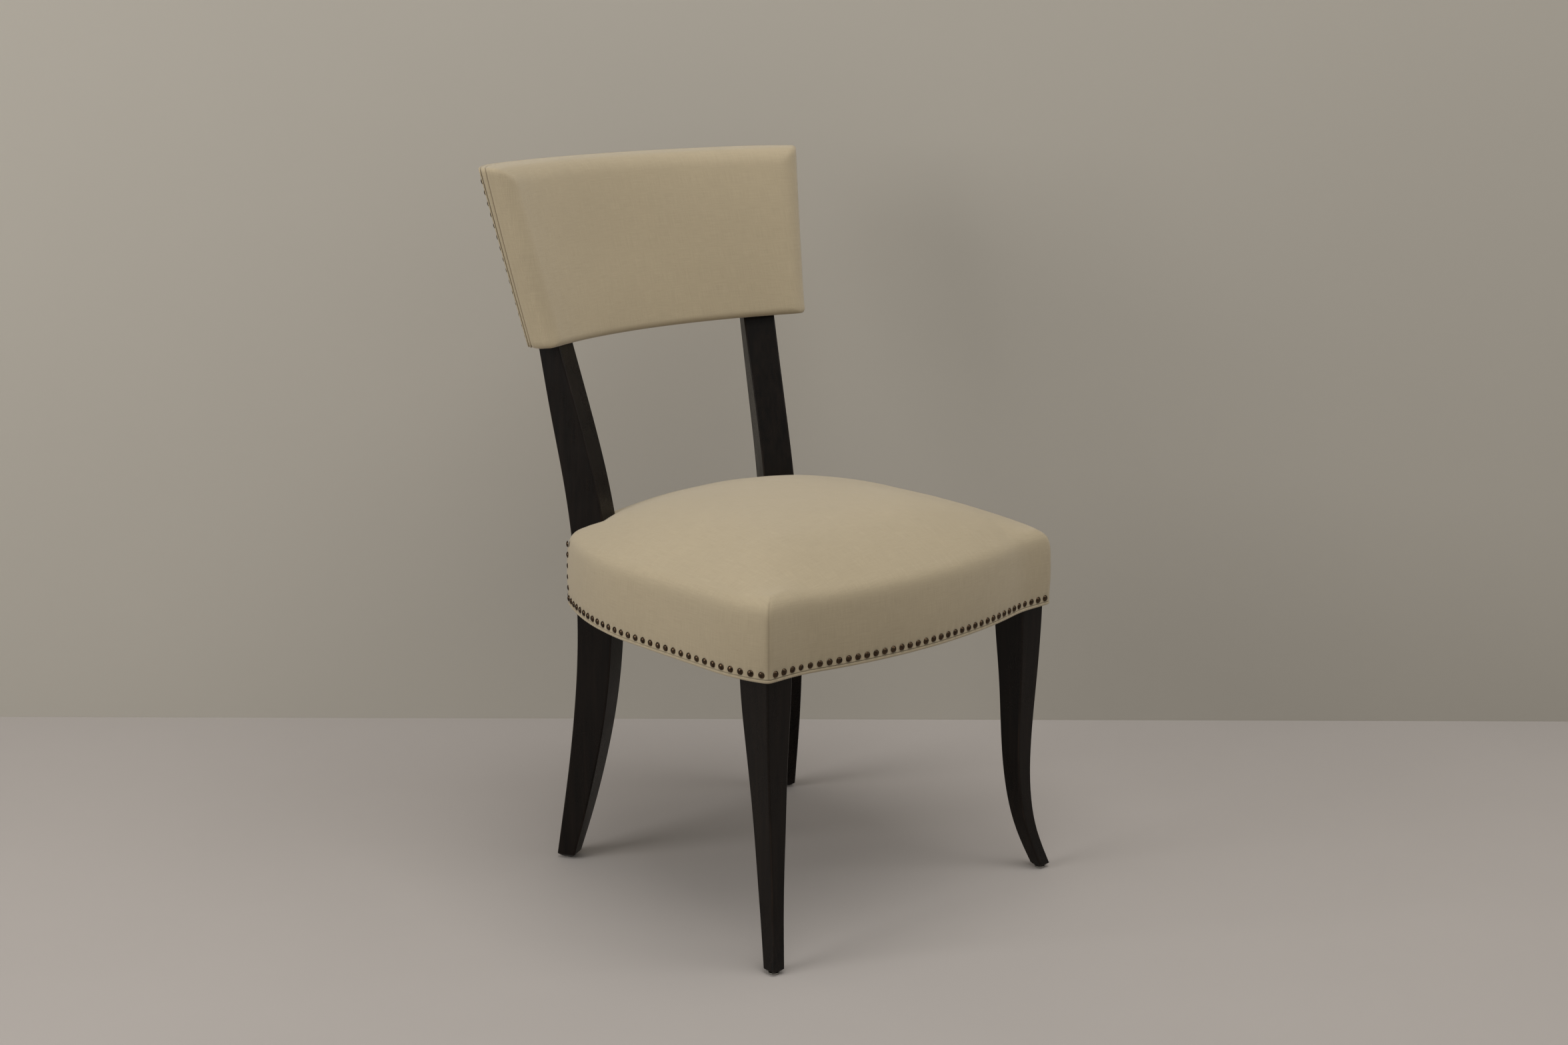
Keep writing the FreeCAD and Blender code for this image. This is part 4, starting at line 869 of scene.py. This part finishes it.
def nail_tree():
    """A domed head on each point of a row, facing out, a little tilted and not quite one size."""
    tree = bpy.data.node_groups.new("nail row", "GeometryNodeTree")
    face = tree.interface
    for label, kind in (("Places", "NodeSocketGeometry"), ("Head radius", FLOAT), ("Head height", FLOAT),
                        ("Tilt", FLOAT), ("Seed", "NodeSocketInt"), ("Metal", "NodeSocketMaterial")):
        face.new_socket(label, in_out="INPUT", socket_type=kind)
    face.new_socket("Nails", in_out="OUTPUT", socket_type="NodeSocketGeometry")
    given = tree.nodes.new("NodeGroupInput").outputs
    put_out = tree.nodes.new("NodeGroupOutput").inputs
    ball = add(tree, "GeometryNodeMeshUVSphere", Segments=12, Rings=8, Radius=1.0)
    spot = add(tree, "GeometryNodeInputPosition").outputs[0]
    low = calc(tree, "LESS_THAN", add(tree, "ShaderNodeSeparateXYZ", Vector=spot).outputs["Z"], -0.01)
    dome = add(tree, "GeometryNodeDeleteGeometry", Geometry=ball.outputs[0], Selection=low)
    stretch = add(tree, "ShaderNodeCombineXYZ", X=given["Head radius"], Y=given["Head radius"],
                  Z=given["Head height"])
    head = add(tree, "GeometryNodeTransform", Geometry=dome.outputs[0], Scale=stretch.outputs[0])
    smooth = add(tree, "GeometryNodeSetShadeSmooth", Geometry=head.outputs[0])
    facing = add(tree, "GeometryNodeInputNamedAttribute", {"data_type": "FLOAT_VECTOR"}, Name="facing")
    upright = add(tree, "FunctionNodeAlignRotationToVector", {"axis": "Z"}, Vector=facing.outputs[0])
    tilt_low = calc(tree, "MULTIPLY", given["Tilt"], -1.0)
    low_vector = add(tree, "ShaderNodeCombineXYZ", X=tilt_low, Y=tilt_low, Z=0.0)
    high_vector = add(tree, "ShaderNodeCombineXYZ", X=given["Tilt"], Y=given["Tilt"], Z=6.28)
    turned = add(tree, "FunctionNodeRandomValue", {"data_type": "FLOAT_VECTOR"},
                 i0=low_vector.outputs[0], i1=high_vector.outputs[0])
    wire(tree, given["Seed"], turned.inputs["Seed"])
    wobble = add(tree, "FunctionNodeEulerToRotation", i0=turned.outputs[0])
    placed = add(tree, "FunctionNodeRotateRotation", {"rotation_space": "LOCAL"},
                 i0=upright.outputs[0], i1=wobble.outputs[0])
    sizes = add(tree, "FunctionNodeRandomValue", {"data_type": "FLOAT_VECTOR"},
                i0=(0.97, 0.97, 0.93), i1=(1.02, 1.02, 1.04))
    wire(tree, given["Seed"], sizes.inputs["Seed"])
    row = add(tree, "GeometryNodeInstanceOnPoints", Points=given["Places"], Instance=smooth.outputs[0],
              Rotation=placed.outputs[0], Scale=sizes.outputs[0])
    real = add(tree, "GeometryNodeRealizeInstances", Geometry=row.outputs[0])
    metal = add(tree, "GeometryNodeSetMaterial", Geometry=real.outputs[0], Material=given["Metal"])
    tree.links.new(metal.outputs[0], put_out["Nails"])
    return tree


nail_maker = nail_tree()
bronze = metal_finish("antique_bronze", (0.032, 0.021, 0.014, 1), (0.095, 0.062, 0.037, 1), 0.17, 320.0)
head_off_cloth = 0.12


def nail_row(name, node, row, seed):
    """A row of nails as one plain mesh, from its places and the way that each nail faces."""
    points = metres([place + facing * head_off_cloth for place, facing in row])
    mesh = bpy.data.meshes.new(name)
    mesh.from_pydata([tuple(point) for point in points], [], [])
    facing = mesh.attributes.new("facing", "FLOAT_VECTOR", "POINT")
    facing.data.foreach_set("vector", [float(part) for _, way in row for part in way])
    piece = bpy.data.objects.new(name, mesh)
    bpy.context.scene.collection.objects.link(piece)
    modifier = piece.modifiers.new("nails", "NODES")
    modifier.node_group = nail_maker
    wanted = {"Head radius": 0.0041, "Head height": 0.0023, "Tilt": 0.07, "Seed": seed, "Metal": bronze}
    for item in nail_maker.interface.items_tree:
        if item.in_out == "INPUT" and item.name in wanted:
            modifier[item.identifier] = wanted[item.name]
    evaluated = piece.evaluated_get(bpy.context.evaluated_depsgraph_get())
    made = bpy.data.meshes.new_from_object(evaluated)
    piece.modifiers.clear()
    piece.data = made
    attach(piece, "root")
    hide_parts(node)


nail_row("nails_seat_front", "seat_nails_front", nails_front, 11)
nail_row("nails_seat_right", "seat_nails_right", nails_right, 12)
nail_row("nails_seat_left", "seat_nails_left", nails_left, 13)
nail_row("nails_seat_rear", "seat_nails_rear", nails_rear, 14)


# Dust cover. Thin black cambric stapled over the underside of the frame, a little slack.

cambric = cloth_finish("black_cambric", (0.022, 0.022, 0.023, 1), (0.010, 0.010, 0.010, 1), 0.0009, 0.0001,
                       "object", fuzz=0.1)
edge_in, edge_z, sag, cambric_thick = 5.2, 358.9, 3.5, 0.6
drawn_in = full - outward * edge_in
grid_sides = (drawn_in[:across + 1], drawn_in[across:across + along + 1],
              drawn_in[across + along:2 * across + along + 1][::-1],
              np.vstack([drawn_in[2 * across + along:], drawn_in[:1]])[::-1])
laid_flat = quilt(*grid_sides).reshape(-1, 2)
to_edge = np.clip(share_out(laid_flat), 0, 1)
slack = edge_z - sag * (1 - to_edge ** 2) ** 0.8
slack += ripple(np.column_stack([laid_flat, slack]), 60, 33.0) * 0.5 * (1 - to_edge)
above = np.column_stack([laid_flat, slack])
below = np.column_stack([laid_flat, slack - cambric_thick])
layer = len(above)
cambric_faces = []
for quad in grid_quads(across, along):
    cambric_faces += [quad, [layer + item for item in quad[::-1]]]
for index in range(ring_count):
    here, after = edge_ring[index], edge_ring[(index + 1) % ring_count]
    cambric_faces.append([layer + here, layer + after, after, here])
dust_sheet = finish_mesh("dust_cover_cloth", metres(np.vstack([above, below])), cambric_faces, cambric)
leg_rooms = [sabre("leg_room", front_stations, side, 0, lacquer, grow=0.3, low=post_room_low)
             for side in (-1, 1)]
cut_room(dust_sheet, cutters + leg_rooms)
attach(dust_sheet, "root")
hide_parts("dust_cover")


# Padded back. Thin foam over a bent panel, with the cover pulled round the top, bottom and ends
# to the back of the frame. It widens and leans back as it rises, and its ends are thinner.

back_bottom, back_top, back_radius = 680, 900, 420
front_at_bottom, lean = 475, 70
half_at_bottom, widening = 213.5, 28.5
taper_run, taper_depth = 53, 18


def back_arc(height):
    """Middle of the arc of the back's front face at a height, and the angle of its ends."""
    rise = (height - back_bottom) / (back_top - back_bottom)
    half = half_at_bottom + widening * rise
    return front_at_bottom + lean * rise - back_radius, math.asin(half / back_radius)


def back_point(run, height, depth):
    """A point of the back: run is millimetres along the front face from the middle."""
    middle_y, _ = back_arc(height)
    angle, radius = run / back_radius, back_radius + depth
    return radius * math.sin(angle), middle_y + radius * math.cos(angle), height


def half_run(height):
    """Half the length of the back along its front face at a height."""
    return back_radius * back_arc(height)[1]


def rear_depth(run, height, depth):
    """Depth of the back's rear face, which tapers towards the ends."""
    near_end = 1 - (half_run(height) - abs(run)) / taper_run
    return depth - taper_depth * (math.sqrt(near_end ** 2 + 0.02) + near_end) / 2


def loop(across, along, corner, ends=0.0, top=0.0, bottom=0.0, sag=3.0):
    """Counter-clockwise outline of the padded back as run and height, drawn in at its four sides.

    The cover is pulled tight from end to end, so it sags a little in the middle.
    """
    points = []
    low, high = back_bottom + bottom, back_top - top
    for i, j in around(across, along):
        height = low + (high - low) * j / along
        wide = half_run(height) - ends
        run = (2 * i / across - 1) * wide
        from_middle, half_high = height - (low + high) / 2, (high - low) / 2
        over_run, over_height = abs(run) - (wide - corner), abs(from_middle) - (half_high - corner)
        if over_run > 0 and over_height > 0:
            scale = max(over_run, over_height) / math.hypot(over_run, over_height)
            run = math.copysign(wide - corner + over_run * scale, run)
            from_middle = math.copysign(half_high - corner + over_height * scale, from_middle)
            height = (low + high) / 2 + from_middle
        points.append((run, height - sag * (1 - (run / half_run(height)) ** 2)))
    return np.array(points)


pad_across, pad_along, corner_round = 112, 48, 6
pad_ring = around(pad_across, pad_along)
base = loop(pad_across, pad_along, corner_round)
ahead = np.roll(base, -1, axis=0) - np.roll(base, 1, axis=0)
facing_up = -ahead[:, 0] / np.linalg.norm(ahead, axis=1)
end_soft, top_soft, bottom_soft = 25.0, 21.0, 11.0
softness = end_soft + np.where(facing_up > 0, top_soft - end_soft, bottom_soft - end_soft) * facing_up ** 2
for _ in range(8):
    softness = (softness + np.roll(softness, 1) + np.roll(softness, -1)) / 3

# Rings run from the rear edge over the seam and the sides to the soft front edge.
rim = np.array([rear_depth(run, height, 52.6) for run, height in base])
seam_at = rim - 2.6 - 3.6 * ((base[:, 1] - back_bottom) / (back_top - back_bottom)) ** 2
ring_points = []
for depth, give in ((rim, 0.0), (seam_at + 1.0, 0.0), (seam_at, 0.8), (seam_at - 1.0, 0.0)):
    drawn = loop(pad_across, pad_along, corner_round, give, give, give)
    ring_points.append(np.column_stack([drawn, depth]))
for share_back in (0.75, 0.5, 0.25):
    give = -0.7 * math.sin(math.pi * share_back)
    drawn = loop(pad_across, pad_along, corner_round, give, give, give)
    ring_points.append(np.column_stack([drawn, softness + (seam_at - 1.0 - softness) * share_back]))
for turn in (0, 11, 22, 33, 44, 55, 66, 77, 87):
    cos, sin = math.cos(math.radians(turn)), math.sin(math.radians(turn))
    drawn = loop(pad_across, pad_along, corner_round - 3 * (1 - cos), end_soft * (1 - cos),
                 top_soft * (1 - cos), bottom_soft * (1 - cos))
    ring_points.append(np.column_stack([drawn, softness * (1 - sin)]))
lookup = {place: index for index, place in enumerate(pad_ring)}


def filled(edge):
    """A grid stretched between the four sides of an edge that runs round the padded back."""
    lower = np.array([edge[lookup[(i, 0)]] for i in range(pad_across + 1)])
    right_end = np.array([edge[lookup[(pad_across, j)]] for j in range(pad_along + 1)])
    upper = np.array([edge[lookup[(i, pad_along)]] for i in range(pad_across + 1)])
    left_end = np.array([edge[lookup[(0, j)]] for j in range(pad_along + 1)])
    return quilt(lower, right_end, upper, left_end)


grid = filled(ring_points[-1])
u = np.abs(np.linspace(-1, 1, pad_across + 1))[:, None]
v = np.abs(np.linspace(-1, 1, pad_along + 1))[None, :]
crown = 3.4 * (1 - u ** 2.6) * (1 - v ** 2.6)
grid[:, :, 2] -= crown
pad_patch = grid.reshape(-1, 3)
pad_uvd = np.vstack([pad_patch] + ring_points[-2::-1])

# Behind, the pad is open to the frame: a pocket with a rim of foam and cloth round it.
rim_thick, foam_thick = 9.6, 11.8
inner_loop = loop(pad_across, pad_along, 4, rim_thick, rim_thick, rim_thick, sag=0)
pocket_rings = [np.column_stack([inner_loop, np.maximum(rim - 0.1, 12)]),
                np.column_stack([inner_loop, np.full(len(base), 30.0)]),
                np.column_stack([inner_loop, np.full(len(base), foam_thick)])]
pocket = filled(pocket_rings[-1])
pocket[:, :, 2] = foam_thick
outer_count = len(pad_uvd)
all_uvd = np.vstack([pad_uvd] + pocket_rings[:2] + [pocket.reshape(-1, 3)])
pad_vertices = np.array([back_point(run, height, depth) for run, height, depth in all_uvd])
slow = ripple(pad_vertices, 90, 21.0) * 0.7 + ripple(pad_vertices, 30, 14.0) * 0.18
toward = np.array([[math.sin(run / back_radius), math.cos(run / back_radius), 0]
                   for run, _, _ in all_uvd])
slow *= np.clip(1 - all_uvd[:, 2] / 22, 0, 1)
slow[outer_count:] = 0
pad_vertices -= toward * slow[:, None]

pad_faces = grid_quads(pad_across, pad_along)
pad_uv = [laid_down(all_uvd, quad) for quad in pad_faces]
pad_slots = [0] * len(pad_faces)
stride = pad_along + 1
pocket_start = outer_count + 2 * len(base)
rows = [[i * stride + j for i, j in pad_ring]]
for start in range(len(pad_patch), pocket_start, len(base)):
    rows.append(list(range(start, start + len(base))))
rows.append([pocket_start + item for item in rows[0]])
around_length = length_along(base, closed=True)
for level in range(len(rows) - 1):
    upper, lower = rows[level], rows[level + 1]
    for index in range(len(base)):
        after = (index + 1) % len(base)
        pad_faces.append([lower[index], lower[after], upper[after], upper[index]])
        if level < 6:
            pad_uv.append(laid_down(all_uvd, pad_faces[-1]))
        else:
            low, high = all_uvd[lower[index], 2], all_uvd[upper[index], 2]
            pad_uv.append([(around_length[index], -low), (around_length[index + 1], -low),
                           (around_length[index + 1], -high), (around_length[index], -high)])
        pad_slots.append(0 if level < len(ring_points) else 1)
for quad in grid_quads(pad_across, pad_along, turned=True):
    pad_faces.append([pocket_start + item for item in quad])
    pad_uv.append(laid_down(all_uvd, pad_faces[-1]))
    pad_slots.append(1)
back_pad = finish_mesh("back_pad", metres(pad_vertices), pad_faces, [cotton, foam_yellow])
lay_cloth(back_pad, pad_uv, pad_slots)
# The seam row is marked, and the cotton darkens it with painted shade.
stitched = np.zeros(len(pad_vertices))
seam_row = len(ring_points) - 3
stitched[rows[seam_row]] = 1.0
back_pad.data.attributes.new("seam", "FLOAT", "POINT").data.foreach_set("value", stitched)
cut_room(back_pad, cutters)
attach(back_pad, "root")
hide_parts("back_foam", "back_front_cover")


# Outside back. A flat piece of the cover cloth over a thin board, folded in round its edge and
# nailed all round, just inside the seam with the front cover.

outer_face, rear_stretch = 54.9, 1.12
flat_points = filled(loop(pad_across, pad_along, corner_round, 0.4, 0.4, 0.4)).reshape(-1, 2)
sheet_vertices = np.array([back_point(run, height, rear_depth(run, height, outer_face))
                           for run, height in flat_points])
sheet_faces = grid_quads(pad_across, pad_along, turned=True)
on_cloth = flat_points * np.array([rear_stretch, 1])
sheet_uv = [laid_down(on_cloth, quad) for quad in sheet_faces]
outside = finish_mesh("outside_back_cloth", metres(sheet_vertices), sheet_faces, cotton)
lay_cloth(outside, sheet_uv, [0] * len(sheet_faces))
thick = outside.modifiers.new("thickness", "SOLIDIFY")
thick.thickness, thick.offset = 0.0016, -1.0
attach(outside, "root")
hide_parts("outside_back_cover")


def on_outside(run, height):
    """A point of the outer face of the cloth."""
    return np.array(back_point(run, height, rear_depth(run, height, 55)))


def outside_nails(nails_in=12.5, pitch=14):
    """A ring of nails a little in from the edge of the outside back."""
    row = []
    ring = loop(400, 200, 4, nails_in, nails_in, nails_in)
    length = length_along(np.array([on_outside(run, height) for run, height in ring]), closed=True)
    closed_ring = np.vstack([ring, ring[:1]])
    count = round(length[-1] / pitch)
    for index in range(count):
        at = length[-1] * index / count
        run, height = (np.interp(at, length, closed_ring[:, axis]) for axis in (0, 1))
        here = on_outside(run, height)
        beside, above = on_outside(run + 1, height) - here, on_outside(run, height + 1) - here
        way = np.cross(above, beside)
        way = way / np.linalg.norm(way)
        row.append((here, way if way[1] > 0 else -way))
    return row


nail_row("nails_outside_back", "outside_back_nails", outside_nails(), 15)


# The finished chair. The rooms that were cut out for the legs and posts are taken away.

for room in cutters + leg_rooms:
    bpy.data.objects.remove(room)
